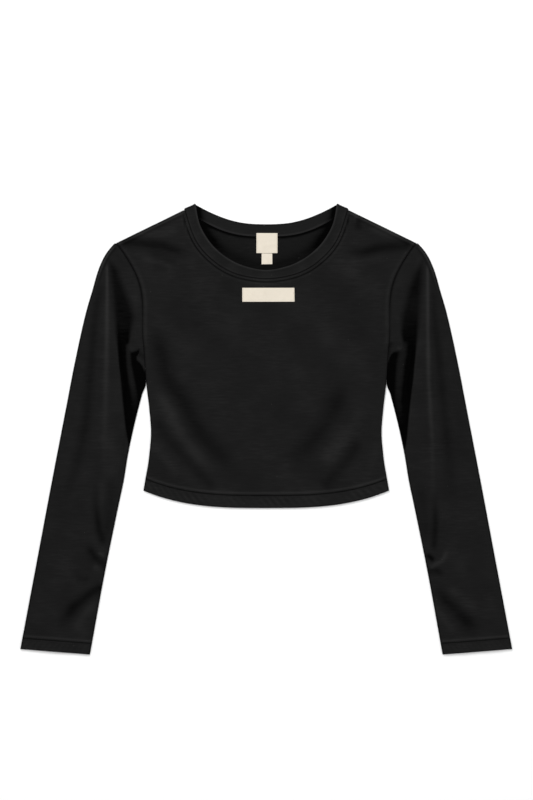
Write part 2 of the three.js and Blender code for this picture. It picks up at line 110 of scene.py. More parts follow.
# Each row is a height on the sleeve, then the lip and ridge as shares of its width, then the heights of
# the seam, the fold's foot, the lip, the ridge and the cloth outside it
LEFT_FOLDS = np.array([
    (-315, .1, .4, 2.7, 3, 3.1, 3.5, 3.2), (-295, .1, .4, 2.7, 3.1, 3.3, 4, 3.5),
    (-130, .1, .38, 2.7, 3.3, 4, 5.2, 4.3), (-40, .09, .36, 2.7, 3.1, 4, 5.6, 4.5),
    (-11, .1, .38, 2.7, 3, 4.6, 5.8, 4.5), (44, .25, .49, 3, 2.9, 5.6, 6.2, 4.6),
    (90, .35, .55, 3.6, 2.9, 6.1, 6.3, 4.7), (125, .41, .58, 4, 2.9, 6, 6.3, 4.7),
    (171, .52, .65, 4.1, 3.2, 5.5, 5.9, 4.6), (230, .66, .75, 3.7, 3.6, 4.2, 4.4, 3.9),
    (258, .6, .75, 2.9, 3, 3.1, 3.1, 2.9),
])
RIGHT_FOLDS = np.array([
    (-315, .1, .34, 2.7, 3, 3.1, 3.5, 3.2), (-295, .1, .34, 2.7, 3.1, 3.3, 4, 3.5),
    (-130, .09, .26, 2.7, 3.3, 4.2, 5.3, 4.3), (-47, .09, .35, 2.7, 3.1, 4.2, 5.8, 4.5),
    (-1, .13, .44, 2.7, 3, 5, 6, 4.5), (44, .26, .53, 3, 2.9, 5.7, 6.2, 4.6),
    (90, .365, .58, 3.6, 2.9, 6.1, 6.3, 4.7), (125, .43, .61, 4, 2.9, 5.9, 6.3, 4.7),
    (185, .56, .71, 4.1, 3.3, 5, 5.5, 4.5), (230, .58, .8, 3.7, 3.6, 4.1, 4.4, 3.9),
    (258, .6, .8, 2.9, 3, 3.1, 3.1, 2.9),
])

# Each row is a distance down from the shoulder seam, then a depth, a half width and a painted shading,
# a highlight above zero and a shade below
SHOULDER_LINES = [(0.3, 0.0, 1.0, -0.5), (2.6, 0.1, 1.6, 0.5), (5.8, -0.2, 2.0, -0.25)]

# Points of the shade that the front casts on the back inside the neck, from the middle outwards
INSIDE_SHADE = [(0, 227), (30, 233), (52.5, 243.5), (70.5, 257.5), (83.5, 273.5), (93.5, 293.5)]

# Each row is a distance in from the sleeve's outer edge, then a painted shading, a highlight line above zero
# and a shade line below
CAP_LINES = [(2.6, 0.5), (5.8, -0.4)]

# Each row is a share of the neckband's width, then a share of its thickness and a painted shading, lighter
# on the rounded free edge and darker towards the seam
BAND_SECTION = np.array([
    (0, .5, -.1), (.012, .86, .2), (.04, 1.15, .42), (.09, 1.34, .46), (.15, 1.2, .2), (.22, 1.02, 0),
    (.32, .98, -.04), (.44, 1, 0), (.56, 1.02, .02), (.68, 1.03, .03), (.78, 1.06, .08), (.85, 1.12, .14),
    (.9, 1.1, .06), (.94, .98, -.25), (.97, .84, -.6), (.99, .7, -.8), (1, .5, -.9),
])


def mix(start: np.ndarray | float, end: np.ndarray | float, share: np.ndarray | float) -> np.ndarray | float:
    """Go from start to end by a share."""
    return start + (end - start) * share


def ease(start: np.ndarray | float, end: np.ndarray | float, value: np.ndarray | float) -> np.ndarray:
    """Rise smoothly from 0 at start to 1 at end."""
    share = np.clip((np.asarray(value, float) - start) / (end - start), 0, 1)
    return share * share * (3 - 2 * share)


def hump(distance: np.ndarray, width: float) -> np.ndarray:
    """Reach 1 at no distance and fall away smoothly to both sides."""
    return np.exp(-(distance / width) ** 2)


def from_segment(x: np.ndarray, y: np.ndarray, start: tuple[float, float],
                 end: tuple[float, float]) -> tuple[np.ndarray, np.ndarray]:
    """Measure how far places are from a straight stretch.

    Args:
        x: Places across.
        y: Places along.
        start: The stretch's first point.
        end: Its last point.

    Returns:
        The distance, and how far along the stretch the nearest point is, from 0 to 1.
    """
    run = end[0] - start[0]
    rise = end[1] - start[1]
    right = x - start[0]
    up = y - start[1]
    share = np.clip((right * run + up * rise) / (run ** 2 + rise ** 2), 0, 1)
    return np.hypot(right - share * run, up - share * rise), share


def between(keys: np.ndarray, values: np.ndarray, at: np.ndarray) -> np.ndarray:
    """Read a table with a smooth curve that never overshoots its values.

    Args:
        keys: Where the values stand, in rising order.
        values: One value for each key.
        at: Where to read.

    Returns:
        The value at each place, held beyond both ends.
    """
    step = np.diff(keys)
    slope = np.diff(values) / step
    tangent = np.zeros(len(values))
    tangent[0] = slope[0]
    tangent[-1] = slope[-1]
    product = slope[:-1] * slope[1:]
    total = np.where(product > 0, slope[:-1] + slope[1:], 1)
    tangent[1:-1] = np.where(product > 0, 2 * product / total, 0)
    place = np.clip(at, keys[0], keys[-1])
    row = np.clip(np.searchsorted(keys, place, side="right") - 1, 0, len(keys) - 2)
    t = (place - keys[row]) / step[row]
    start = tangent[row] * step[row]
    end = tangent[row + 1] * step[row]
    rise = values[row + 1] - values[row]
    return values[row] + t * (start + t * (3 * rise - 2 * start - end + t * (start + end - 2 * rise)))


class EdgeCurve:
    """The right half of a smooth line, level where it crosses the middle, read by its share of the length."""

    STEPS = 48

    def __init__(self, points: np.ndarray) -> None:
        """Thread the curve.

        Args:
            points: The x and y of each point in turn.
        """
        mirror = points[1] * (-1, 1)
        ends = np.vstack([mirror, points, points[-1:]]).astype(float)
        t = np.linspace(0, 1, self.STEPS, endpoint=False)[:, None]
        runs = []
        for before, start, end, after in zip(ends[:-3], ends[1:-2], ends[2:-1], ends[3:]):
            leave = (end - before) / 2
            arrive = (after - start) / 2
            cubic = (2 * start - 2 * end + leave + arrive) * t ** 3
            square = (-3 * start + 3 * end - 2 * leave - arrive) * t ** 2
            runs.append(cubic + square + leave * t + start)
        self.line = np.vstack([*runs, ends[-1:]])
        steps = np.hypot(*np.diff(self.line, axis=0).T)
        self.run = np.concatenate([[0], np.cumsum(steps)])
        self.length = float(self.run[-1])

    def at(self, share: np.ndarray) -> tuple[np.ndarray, np.ndarray]:
        """Give the x and y at a share of the length."""
        place = np.asarray(share) * self.length
        return np.interp(place, self.run, self.line[:, 0]), np.interp(place, self.run, self.line[:, 1])


def mirrored(path: list[tuple[float, float]]) -> list[tuple[float, float]]:
    """Carry a path to the other side of the garment."""
    return [(-x, y) for x, y in path]


@dataclass(frozen=True)
class Crease:
    """A fold line in the cloth.

    Depth is its height, below zero for a trough. Widths are the half widths at the start and the end, and
    power squares its section off. Its painted shading is a painted highlight along the fold above zero and
    painted shade in it below. Ends are the shares of its length over which it comes in and goes out.
    """

    path: list[tuple[float, float]]
    depth: float
    widths: tuple[float, float]
    tone: float
    power: float = 2.0
    ends: tuple[float, float] = (0.25, 0.25)

    def section(self, x: np.ndarray, y: np.ndarray) -> np.ndarray:
        """Measure how strongly the fold acts at each place.

        Args:
            x: Places across.
            y: Places along.

        Returns:
            A share from 0 to 1.
        """
        nearest = np.full(np.shape(x), FAR)
        along = np.zeros(np.shape(x))
        steps = [math.dist(a, b) for a, b in zip(self.path, self.path[1:])]
        total = sum(steps)
        run = 0.0
        for start, end, step in zip(self.path, self.path[1:], steps):
            gap, share = from_segment(x, y, start, end)
            closer = gap < nearest
            nearest = np.where(closer, gap, nearest)
            along = np.where(closer, (run + share * step) / total, along)
            run += step
        width = mix(self.widths[0], self.widths[1], along)
        strength = np.exp(-(nearest / width) ** self.power)
        fade_in, fade_out = self.ends
        if fade_in > 0:
            strength = strength * ease(0, fade_in, along)
        if fade_out > 0:
            strength = strength * ease(0, fade_out, 1 - along)
        return strength


@dataclass(frozen=True)
class PaintedShadeTuck:
    """A tuck, where the cloth folds under itself and little light gets in.

    The outline is closed. Its painted shading darkens the tuck towards black, a painted shade. Fade gives the
    heights between which the tuck goes from its full strength to a weak share of it, and soft is how far its
    edge takes to sink in at those two heights. Spared is a strip inside the tuck where less shade is painted.
    """

    outline: list[tuple[float, float]]
    depth: float
    soft: tuple[float, float]
    tone: float
    fade: tuple[float, float]
    weak: float
    spared: Crease

    def section(self, x: np.ndarray, y: np.ndarray) -> np.ndarray:
        """Measure how strongly the tuck acts at each place.

        Args:
            x: Places across.
            y: Places along.

        Returns:
            A share from 0 to 1.
        """
        nearest = np.full(np.shape(x), FAR)
        inside = np.zeros(np.shape(x), bool)
        for start, end in zip(self.outline, self.outline[1:] + self.outline[:1]):
            nearest = np.minimum(nearest, from_segment(x, y, start, end)[0])
            if start[1] != end[1]:
                crossing = start[0] + (y - start[1]) * (end[0] - start[0]) / (end[1] - start[1])
                inside ^= ((start[1] > y) != (end[1] > y)) & (x < crossing)
        fading = ease(*self.fade, y)
        soft = mix(self.soft[0], self.soft[1], fading)
        deep_in = np.where(inside, nearest, -nearest)
        strength = ease(-soft / 2, soft / 2, deep_in) * mix(1, self.weak, fading)
        return strength * (1 - self.spared.tone * self.spared.section(x, y))


def creased(creases: list[Crease | PaintedShadeTuck], x: np.ndarray, y: np.ndarray) -> tuple[np.ndarray, np.ndarray]:
    """Add up the height and the painted shading of several creases."""
    height = np.zeros(np.shape(x))
    tone = np.zeros(np.shape(x))
    for crease in creases:
        strength = crease.section(x, y)
        height += crease.depth * strength
        tone += crease.tone * strength
    return height, tone


@dataclass(frozen=True)
class Rumple:
    """The faint unevenness of cloth that has been smoothed by hand."""

    seed: int
    height: float = 0.16
    longest: float = 90.0
    shortest: float = 24.0
    waves: int = 14

    def at(self, x: np.ndarray, y: np.ndarray) -> np.ndarray:
        """Give the height at each place, about zero."""
        rng = np.random.default_rng(self.seed)
        total = np.zeros(np.shape(x))
        for length in np.geomspace(self.longest, self.shortest, self.waves):
            turn, phase = rng.uniform(0, 2 * math.pi, 2)
            wave = np.sin((x * math.cos(turn) + y * math.sin(turn)) * 2 * math.pi / length + phase)
            total += wave * length / self.longest
        return total * self.height


# In this table and the crease tables after it, the fourth value of each fold is its painted shading: a
# painted highlight along it above zero, painted shade in it below.
FRONT_CREASES = [
    Crease([(-158.5, 150.5), (-148.8, 111.3), (-137.5, 69.3), (-113.7, 34.3), (-92.4, -4.9),
           (-70.5, -29.5), (-36.3, -63.7), (-8, -84)], -1.7, (11, 12), -0.46, ends=(0.15, 0.4)),
    Crease([(-157.1, 62.3), (-134.8, 23.1), (-116.5, -10.5), (-90.4, -42.7), (-61.9, -67.9)],
           1.1, (9, 10), 0.26, ends=(0.2, 0.2)),
    Crease([(-159.9, 20.3), (-134.8, -17.1), (-111.4, -42.7), (-88.5, -67.9), (-68.9, -86.1)],
           -1, (8, 7), -0.36, ends=(0.15, 0.1)),
    Crease([(-164.1, -14.7), (-137.5, -46.9), (-120.7, -72.1)], 0.6, (7, 7), 0.18, ends=(0.1, 0.2)),
    Crease([(110, 82), (102, 42), (88, 12), (70, -12), (48, -37), (20, -68)], -1.5, (12, 13), -0.38,
           ends=(0.25, 0.4)),
    Crease([(139.6, 30.1), (111.6, -11.9), (93.4, -31.5), (68.2, -53.9)], 1, (10, 10), 0.22),
    Crease([(132.7, -11.9), (113, -44.1), (96.2, -63.7), (78, -84.7)],
           -1, (9, 8), -0.36, ends=(0.15, 0.1)),
    Crease([(162, -14.7), (148, -51.1), (131.2, -76.3)], 0.4, (8, 8), 0.1),
    Crease([(-195.4, 262.9), (-148.8, 258.3), (-134.8, 254.1), (-113.7, 245.7), (-96.9, 241.9)],
           -1.3, (8, 6), -0.62, ends=(0, 0.4)),
    Crease([(-165.5, 247.1), (-145.9, 241.5), (-120.7, 233.1)], -0.5, (6, 6), -0.26),
    Crease([(-159.9, 227.5), (-134.8, 223.3)], -0.4, (6, 6), -0.16),
    Crease([(-178.1, 240.1), (-150.1, 234.5), (-127.7, 226.1)], 0.5, (6, 6), 0.16),
    Crease([(-187.9, 270.9), (-148.8, 273.7), (-117.9, 282.1)], 0.6, (7, 7), 0.22),
    Crease([(104.6, 247.1), (135.4, 248.5), (159.2, 254.1), (195.6, 258.3)],
           -1.2, (6, 8), -0.6, ends=(0.4, 0)),
    Crease([(111.6, 234.5), (139.6, 235.9), (171.8, 241.5)], 0.45, (7, 7), 0.14),
    Crease([(128.4, 296.1), (129.2, 277.9)], -0.6, (5, 5), -0.45),
    Crease([(123.7, 305.9), (124.8, 287.7)], 0.4, (3, 3), 0.35),
    Crease([(139.6, 284.9), (164.8, 275.1), (187.2, 268.1)], 0.6, (6, 5), 0.24),
]
LEFT_CREASES = [
    Crease([(-228.5, 226.1), (-234.1, 195.3), (-241.1, 139.3), (-248.1, 55.3), (-252.3, 6.3),
           (-264.9, -49.7), (-295.8, -140.7)], -0.8, (6, 9), -0.4, ends=(0.15, 0.4)),
    Crease([(-222.5, 234.5), (-222.5, 139.3), (-223.6, 80.5), (-225.7, -0.7), (-228.5, -98.7)],
           0.5, (2.1, 6), 0.5, ends=(0.03, 0.8)),
    Crease([(-215.9, 13.3), (-225.7, -70.7), (-235.5, -126.7)], 0.2, (12, 10), 0.1),
    Crease([(-238.3, -56.7), (-238.3, -107.1), (-234.1, -140.7), (-225.7, -165.9)],
           -0.9, (4.5, 5.5), -0.6, ends=(0.7, 0.1)),
    Crease([(-215.9, -56.7), (-220.1, -126.7), (-224.3, -161.7)], -0.3, (9, 6), -0.28),
    Crease([(-252.3, -158.9), (-239.7, -178.5), (-228.5, -189.7)], -0.9, (5, 6), -0.55, ends=(0.4, 0)),
    Crease([(-224.3, -177.1), (-236.9, -172.9)], 0.5, (3, 3), 0.3),
    Crease([(-243.9, -191.1), (-227.1, -195.3)], 0.6, (5, 5), 0.26),
    Crease([(-274.8, -196.7), (-260.8, -207.9), (-245.3, -212.1)], -0.5, (5, 5), -0.28, ends=(0.5, 0.2)),
    Crease([(-232.7, -221.9), (-246.7, -230.3), (-269.1, -248.5), (-297.1, -286.3)],
           -1.2, (6, 10), -0.66, ends=(0, 0.5)),
    Crease([(-232.7, -238.7), (-252.3, -256.9), (-270.5, -283.5)], 0.6, (7, 7), 0.2),
    Crease([(-336.3, -238.7), (-326.5, -182.7), (-316.8, -140.7)], -0.3, (9, 9), -0.15),
    Crease([(-178.8, 106.4), (-169.8, 101.5)], -0.3, (5, 5), -0.4, ends=(0, 0)),
]
# Painted shade, near black, deep in the left underarm tuck, with a strip spared from it
LEFT_PAINTED_SHADE_TUCKS = [
    PaintedShadeTuck([(-218.8, 234.5), (-216.6, 206.5), (-214.5, 189.7), (-212.3, 172.9), (-211.2, 156.1),
           (-210.3, 139.3), (-208.7, 122.5), (-207, 105.7), (-205.6, 88.9), (-203.6, 72.1),
           (-202.2, 55.3), (-200.5, 38.5), (-198.7, 21.7), (-197, 4.9), (-194.5, -11.9),
           (-192.1, -24.5), (-186.5, -21.7), (-179.5, -0.7), (-172.5, 27.3), (-166.9, 44.1),
           (-164.1, 58.1), (-164.1, 69.3), (-169, 77.7), (-172.8, 87.5), (-176.8, 93.4),
           (-180.9, 97.3), (-181.8, 101.5), (-179, 106.5), (-177.6, 111.9), (-183, 109.3),
           (-187.9, 108.5), (-191.6, 110.5), (-192.7, 116.9), (-192.1, 122.5), (-190, 136.5),
           (-186.1, 156.1), (-189.3, 172.9), (-196.3, 189.7), (-202.6, 206.5), (-208.2, 223.3)],
           -0.5, (2.4, 13), -1.12, fade=(95, 175), weak=0.66,
           spared=Crease([(-193.4, 116.9), (-192.8, 100.1), (-191.9, 88.9), (-189.1, 72.1),
                  (-185.7, 55.3), (-184, 38.5), (-182.9, 6.3)],
                  0, (3.2, 6), 0.66, power=3, ends=(0, 0.55))),
]
RIGHT_CREASES = [
    Crease([(233.4, 223.3), (234.8, 167.3), (240.4, 111.3), (244.6, 69.3), (253, -14.7),
           (264.2, -140.7)], -0.8, (5, 9), -0.36, ends=(0.15, 0.4)),
    Crease([(225.9, 234.5), (226.2, 125.3), (227.1, 69.3), (232, -14.7), (234.1, -151.9)],
           0.5, (2.2, 4), 0.5, ends=(0.03, 0.7)),
    Crease([(235.5, -79.1), (236.9, -133.7), (234.1, -171.5)], -0.9, (4.4, 4.8), -0.5, ends=(0.5, 0.1)),
    Crease([(215.2, -70.7), (220.8, -126.7), (225, -165.9)], -0.3, (9, 6), -0.28),
    Crease([(227.1, -177.1), (232, -181.3)], -0.8, (3.6, 3.6), -0.9, ends=(0, 0)),
    Crease([(254.4, -165.9), (247.4, -182.7), (232, -192.5)], 0.7, (3.6, 3.6), 0.36, ends=(0.3, 0)),
    Crease([(229.2, -198.1), (239, -198.1), (251.6, -205.1)], -0.8, (4.4, 4.4), -0.5, ends=(0, 0.5)),
    Crease([(233.4, -216.3), (250.2, -237.3), (272.6, -261.1), (303.4, -289.1)],
           -1.2, (7, 11), -0.6, ends=(0.3, 0.35)),
    Crease([(227.8, -238.7), (248.8, -266.7), (264.2, -286.3)], 0.5, (7, 6), 0.18),
    Crease([(251.6, -216.3), (276.8, -238.7), (302, -255.5)], 0.4, (9, 9), 0.14),
    Crease([(181.6, 114.7), (190, 113.3), (194.2, 109.9)], 0.4, (2, 2), 0.25, ends=(0.2, 0.2)),
    Crease([(177.4, 123.9), (171.8, 115.5), (170.4, 102.9)], -0.3, (3.4, 3.4), -0.5, ends=(0.2, 0)),
]
# Painted shade, near black, deep in the right underarm tuck, with a strip spared from it
RIGHT_PAINTED_SHADE_TUCKS = [
    PaintedShadeTuck([(218.8, 234.5), (218, 206.5), (216.6, 189.7), (215.2, 172.9), (214.1, 156.1),
           (212.4, 139.3), (210.6, 122.5), (208.8, 105.7), (207.1, 88.9), (205.7, 72.1), (203.5, 55.3),
           (201.5, 38.5), (199.8, 21.7), (198.2, 4.9), (196.8, -11.9), (194.9, -25.9), (187.2, -20.3),
           (178.8, 7.7), (171.8, 32.9), (166.2, 52.5), (164.1, 69.3), (166.2, 79.1), (169.3, 88.9),
           (171.8, 97.3), (174.1, 103.5), (177.4, 107.9), (184.4, 109.6), (188.6, 110.5),
           (190.9, 115.5), (191.4, 122.5), (188.9, 136.5), (190, 156.1), (194.2, 172.9),
           (197.9, 189.7), (204, 206.5), (210.3, 221.9)],
           -0.5, (2.4, 13), -1.12, fade=(95, 175), weak=0.66,
           spared=Crease([(191.5, 116.9), (190.4, 105.7), (187.7, 88.9), (186.7, 72.1), (185, 55.3),
                  (184.4, 38.5), (185.8, 13.3), (187.2, -21.7)],
                  0, (6.4, 4.8), 0.66, power=3, ends=(0, 0.8))),
]
# These folds lift the lower sides off the floor, and their fourth value paints shade where they lift
BACK_CREASES = [
    Crease([(-140, 126), (-121, 66), (-96, 22), (-63, -18), (-22, -54)], 1.2, (9, 7), -0.42),
    Crease([(-150, 34), (-128, -4), (-100, -42), (-72, -76)], 0.8, (7, 7), -0.26),
    Crease([(112, 88), (101, 40), (83, 4), (57, -30)], 1.1, (9, 8), -0.38),
    Crease([(146, 6), (120, -30), (93, -68)], 0.8, (7, 7), -0.24),
    Crease([(-200, 236), (-150, 228), (-98, 238)], 0.9, (7, 7), -0.36, ends=(0.1, 0.4)),
    Crease([(88, 236), (146, 231), (201, 238)], 0.9, (7, 7), -0.34, ends=(0.4, 0.1)),
    Crease([(-38, 232), (-6, 226), (30, 231)], 0.5, (8, 8), -0.15),
]
UNDER_SLEEVE_CREASES = [
    Crease([(232, 196), (214, 148), (204, 96), (206, 40)], 1.2, (8, 9), -0.4),
    Crease([(262, 92), (240, 60), (228, 6)], 0.9, (7, 7), -0.28),
    Crease([(214, -60), (240, -112), (272, -140)], 0.9, (7, 7), -0.32),
    Crease([(228, -150), (258, -176), (302, -186)], 0.9, (6, 7), -0.34),
    Crease([(240, -214), (270, -246), (312, -262)], 0.8, (7, 6), -0.3),
]


class NodeBench:
    """Short calls that add and join the nodes of one tree."""

    def __init__(self, tree: bpy.types.NodeTree) -> None:
        """Work on a tree."""
        self.tree = tree

    def add(self, kind: str, inputs: dict | None = None, **settings: object) -> bpy.types.Node:
        """Add a node.

        Args:
            kind: The node's type.
            inputs: A value, or another node's output, for each named or numbered input.
            **settings: The node's own properties.

        Returns:
            The new node.
        """
        node = self.tree.nodes.new(kind)
        for key, value in settings.items():
            setattr(node, key, value)
        for key, value in (inputs or {}).items():
            if isinstance(value, bpy.types.NodeSocket):
                self.tree.links.new(value, node.inputs[key])
            else:
                node.inputs[key].default_value = value
        return node

    def math(self, operation: str, *values: object, clamp: bool = False) -> bpy.types.NodeSocket:
        """Work out one sum and give its result."""
        node = self.add("ShaderNodeMath", dict(enumerate(values)), operation=operation, use_clamp=clamp)
        return node.outputs[0]

    def blend(self, share: object, first: object, second: object) -> bpy.types.NodeSocket:
        """Mix two colours by a share and give the result."""
        return self.add("ShaderNodeMix", {0: share, 6: first, 7: second}, data_type="RGBA").outputs[2]

    def noise(self, place: bpy.types.NodeSocket, scale: float, **inputs: float) -> bpy.types.NodeSocket:
        """Give soft noise of a scale at each place."""
        return self.add("ShaderNodeTexNoise", {"Vector": place, "Scale": scale, **inputs}).outputs["Fac"]

    def ranged(self, value: object, low: float, high: float, to_low: float) -> bpy.types.NodeSocket:
        """Stretch the values from low to high over those from to_low to 1."""
        limits = {"Value": value, "From Min": low, "From Max": high, "To Min": to_low}
        return self.add("ShaderNodeMapRange", limits).outputs[0]

    def join(self, values: dict[str, bpy.types.NodeSocket], node: bpy.types.Node) -> None:
        """Join an output to each named input of a node."""
        for name, value in values.items():
            self.tree.links.new(value, node.inputs[name])

    def socket(self, name: str, kind: str, out: bool = False, value: object = None) -> object:
        """Give the group one named input or output.

        Args:
            name: Its name.
            kind: Float, Vector, Color, Int, Geometry or Material.
            out: Whether it is an output.
            value: Its value where nothing is joined to it.

        Returns:
            The new interface socket.
        """
        socket = self.tree.interface.new_socket(
            name, in_out="OUTPUT" if out else "INPUT", socket_type="NodeSocket" + kind)
        if value is not None:
            socket.default_value = value
        return socket


class Finish:
    """The start of a material: its tree, its shader and the place of each point on its piece."""

    def __init__(self, name: str) -> None:
        """Start the material.

        Args:
            name: The material's name.
        """
        self.material = bpy.data.materials.new(name)
        self.material.use_nodes = True
        self.bench = NodeBench(self.material.node_tree)
        self.shader = self.material.node_tree.nodes["Principled BSDF"]
        self.place = self.bench.add("ShaderNodeTexCoord").outputs["Object"]

    def tone(self) -> bpy.types.NodeSocket:
        """Read the painted shading, highlight and shade, that each point of the piece carries."""
        return self.bench.add("ShaderNodeAttribute", attribute_name="tone").outputs["Fac"]

    def group(self, tree: bpy.types.NodeTree, **values: float) -> bpy.types.bpy_prop_collection:
        """Place a shared effect.

        Args:
            tree: The effect's group.
            **values: Its own values, by the names of its inputs.

        Returns:
            The effect's outputs.
        """
        node = self.bench.add("ShaderNodeGroup", values | {"Vector": self.place}, node_tree=tree)
        return node.outputs

    def set(self, **values: float) -> None:
        """Set the shader's roughness or its specular level."""
        names = {"roughness": "Roughness", "specular": "Specular IOR Level"}
        for key, value in values.items():
            self.shader.inputs[names[key]].default_value = value


class ShaderGroups:
    """The shader effects that more than one finish uses, each built once."""

    YARN_STRETCH = (62.0, 520.0, 62.0)
    SLUB_RANGE = (0.28, 0.72)
    SLUB_HEIGHT = 0.8
    PATCH_SCALE = 14.0
    PATCH_RANGE = (0.2, 0.7)
    PATCH_LEAST = 0.3
    SPECK_SCALE = 130.0
    SPECK_SIZE = 0.06
    SPECK_RARITY = 0.93
    WEAR_SCALE = 9.0

    def __init__(self) -> None:
        """Build every group."""
        self.knit = self.build_knit()
        self.lint = self.build_lint()

    @staticmethod
    def build_knit() -> bpy.types.NodeTree:
        """Build the fine knit with its uneven yarn.

        Returns:
            A group that gives a height and the streaks, from -1 for a dark one to 1 for a pale one.
        """
        tree = bpy.data.node_groups.new("fine_knit", "ShaderNodeTree")
        bench = NodeBench(tree)
        bench.socket("Vector", "Vector")
        bench.socket("Wale", "Float", value=0.0011)
        bench.socket("Course", "Float", value=0.0009)
        bench.socket("Height", "Float", out=True)
        bench.socket("Streak", "Float", out=True)
        entry = bench.add("NodeGroupInput").outputs
        parts = bench.add("ShaderNodeSeparateXYZ", {0: entry["Vector"]}).outputs
        loops = []
        for part, pitch in zip(parts, ("Wale", "Course")):
            turn = bench.math("MULTIPLY", bench.math("DIVIDE", part, entry[pitch]), math.pi)
            loops.append(bench.math("ABSOLUTE", bench.math("SINE", turn)))
        stretched = bench.add("ShaderNodeVectorMath", {0: entry["Vector"], 1: ShaderGroups.YARN_STRETCH},
                              operation="MULTIPLY").outputs[0]
        slub = bench.noise(stretched, 1.0, Detail=2.0, Roughness=0.6)
        patches = bench.noise(entry["Vector"], ShaderGroups.PATCH_SCALE, Detail=2.0)
        slub = bench.ranged(slub, *ShaderGroups.SLUB_RANGE, -1.0)
        patches = bench.ranged(patches, *ShaderGroups.PATCH_RANGE, ShaderGroups.PATCH_LEAST)
        streak = bench.math("MULTIPLY", slub, patches)
        stitches = bench.math("MULTIPLY", bench.math("ADD", *loops), 0.5)
        raised = bench.math("MULTIPLY", streak, ShaderGroups.SLUB_HEIGHT)
        height = bench.math("ADD", stitches, raised)
        bench.add("NodeGroupOutput", {"Height": height, "Streak": streak})
        return tree

    @staticmethod
    def build_lint() -> bpy.types.NodeTree:
        """Build the rare pale specks and the soft patchiness of worn cloth.

        Returns:
            A group that gives a speck mask and a patch value about one.
        """
        tree = bpy.data.node_groups.new("lint_and_wear", "ShaderNodeTree")
        bench = NodeBench(tree)
        bench.socket("Vector", "Vector")
        bench.socket("Patches", "Float", value=0.1)
        bench.socket("Speck", "Float", out=True)
        bench.socket("Patch", "Float", out=True)
        entry = bench.add("NodeGroupInput").outputs
        cells = bench.add("ShaderNodeTexVoronoi", {"Vector": entry["Vector"],
                                                   "Scale": ShaderGroups.SPECK_SCALE}).outputs
        near = bench.math("LESS_THAN", cells["Distance"], ShaderGroups.SPECK_SIZE)
        chance = bench.add("ShaderNodeSeparateColor", {0: cells["Color"]}).outputs[0]
        rare = bench.math("GREATER_THAN", chance, ShaderGroups.SPECK_RARITY)
        cloud = bench.noise(entry["Vector"], ShaderGroups.WEAR_SCALE, Detail=3.0)
        swing = bench.math("MULTIPLY", bench.math("SUBTRACT", cloud, 0.5), entry["Patches"])
        bench.add("NodeGroupOutput", {"Speck": bench.math("MULTIPLY", near, rare),
                                      "Patch": bench.math("ADD", swing, 1.0)})
        return tree


@dataclass(frozen=True)
class KnitFinish:
    """A dark knitted cloth, with a painted highlight on its ridges and painted shade in its tucks."""

    name: str
    body: float = 0.0092
    # Crest is the painted highlight colour on the ridges, and tuck the painted shade colour in the tucks.
    crest: float = 0.027
    painted_highlight_tint: tuple[float, float, float] = (1.0, 0.995, 0.985)
    tuck: float = 0.0003
    roughness: float = 0.72
    specular: float = 0.015
    wale: float = 0.0011
    course: float = 0.0009
    streak: float = 0.13
    streak_gloss: float = 0.12
    relief: float = 0.12
    relief_depth: float = 0.0005
    wear: float = 0.5
    speck: tuple[float, float, float] = (0.09, 0.088, 0.084)
    speck_strength: float = 0.35

    def build(self, groups: ShaderGroups) -> bpy.types.Material:
        """Make the material.

        Args:
            groups: The shared shader effects.

        Returns:
            The finished material.
        """
        finish = Finish(self.name)
        bench = finish.bench
        knit = finish.group(groups.knit, Wale=self.wale, Course=self.course)
        lint = finish.group(groups.lint, Patches=self.wear)
        # The ramp runs from painted shade in the tucks, through the cloth's own colour, to painted highlight
        # on the ridges; the yarn's own streaks shift it too.
        shade = bench.math("ADD", bench.math("MULTIPLY", finish.tone(), 0.5), 0.5)
        shade = bench.math("ADD", shade, bench.math("MULTIPLY", knit["Streak"], self.streak * 0.5))
        ramp = bench.add("ShaderNodeValToRGB", {0: shade})
        stops = ramp.color_ramp.elements
        stops[0].color = (self.tuck, self.tuck, self.tuck, 1)
        stops[1].color = (*(self.crest * part for part in self.painted_highlight_tint), 1)
        middle = stops.new(0.5)
        middle.color = (self.body, self.body, self.body, 1)
        worn = bench.math("SUBTRACT", 1.0, lint["Patch"], clamp=True)
        patched = bench.blend(worn, ramp.outputs[0], (0.0, 0.0, 0.0, 1.0))
        specks = bench.math("MULTIPLY", lint["Speck"], self.speck_strength)
        specked = bench.blend(specks, patched, (*self.speck, 1.0))
        bump = bench.add("ShaderNodeBump", {"Strength": self.relief, "Distance": self.relief_depth,
                                            "Height": knit["Height"]})
        gloss = bench.math("MULTIPLY", knit["Streak"], self.streak_gloss)
        rough = bench.math("SUBTRACT", self.roughness, gloss)
        bench.join({"Base Color": specked, "Roughness": rough, "Normal": bump.outputs[0]}, finish.shader)
        finish.set(specular=self.specular)
        return finish.material


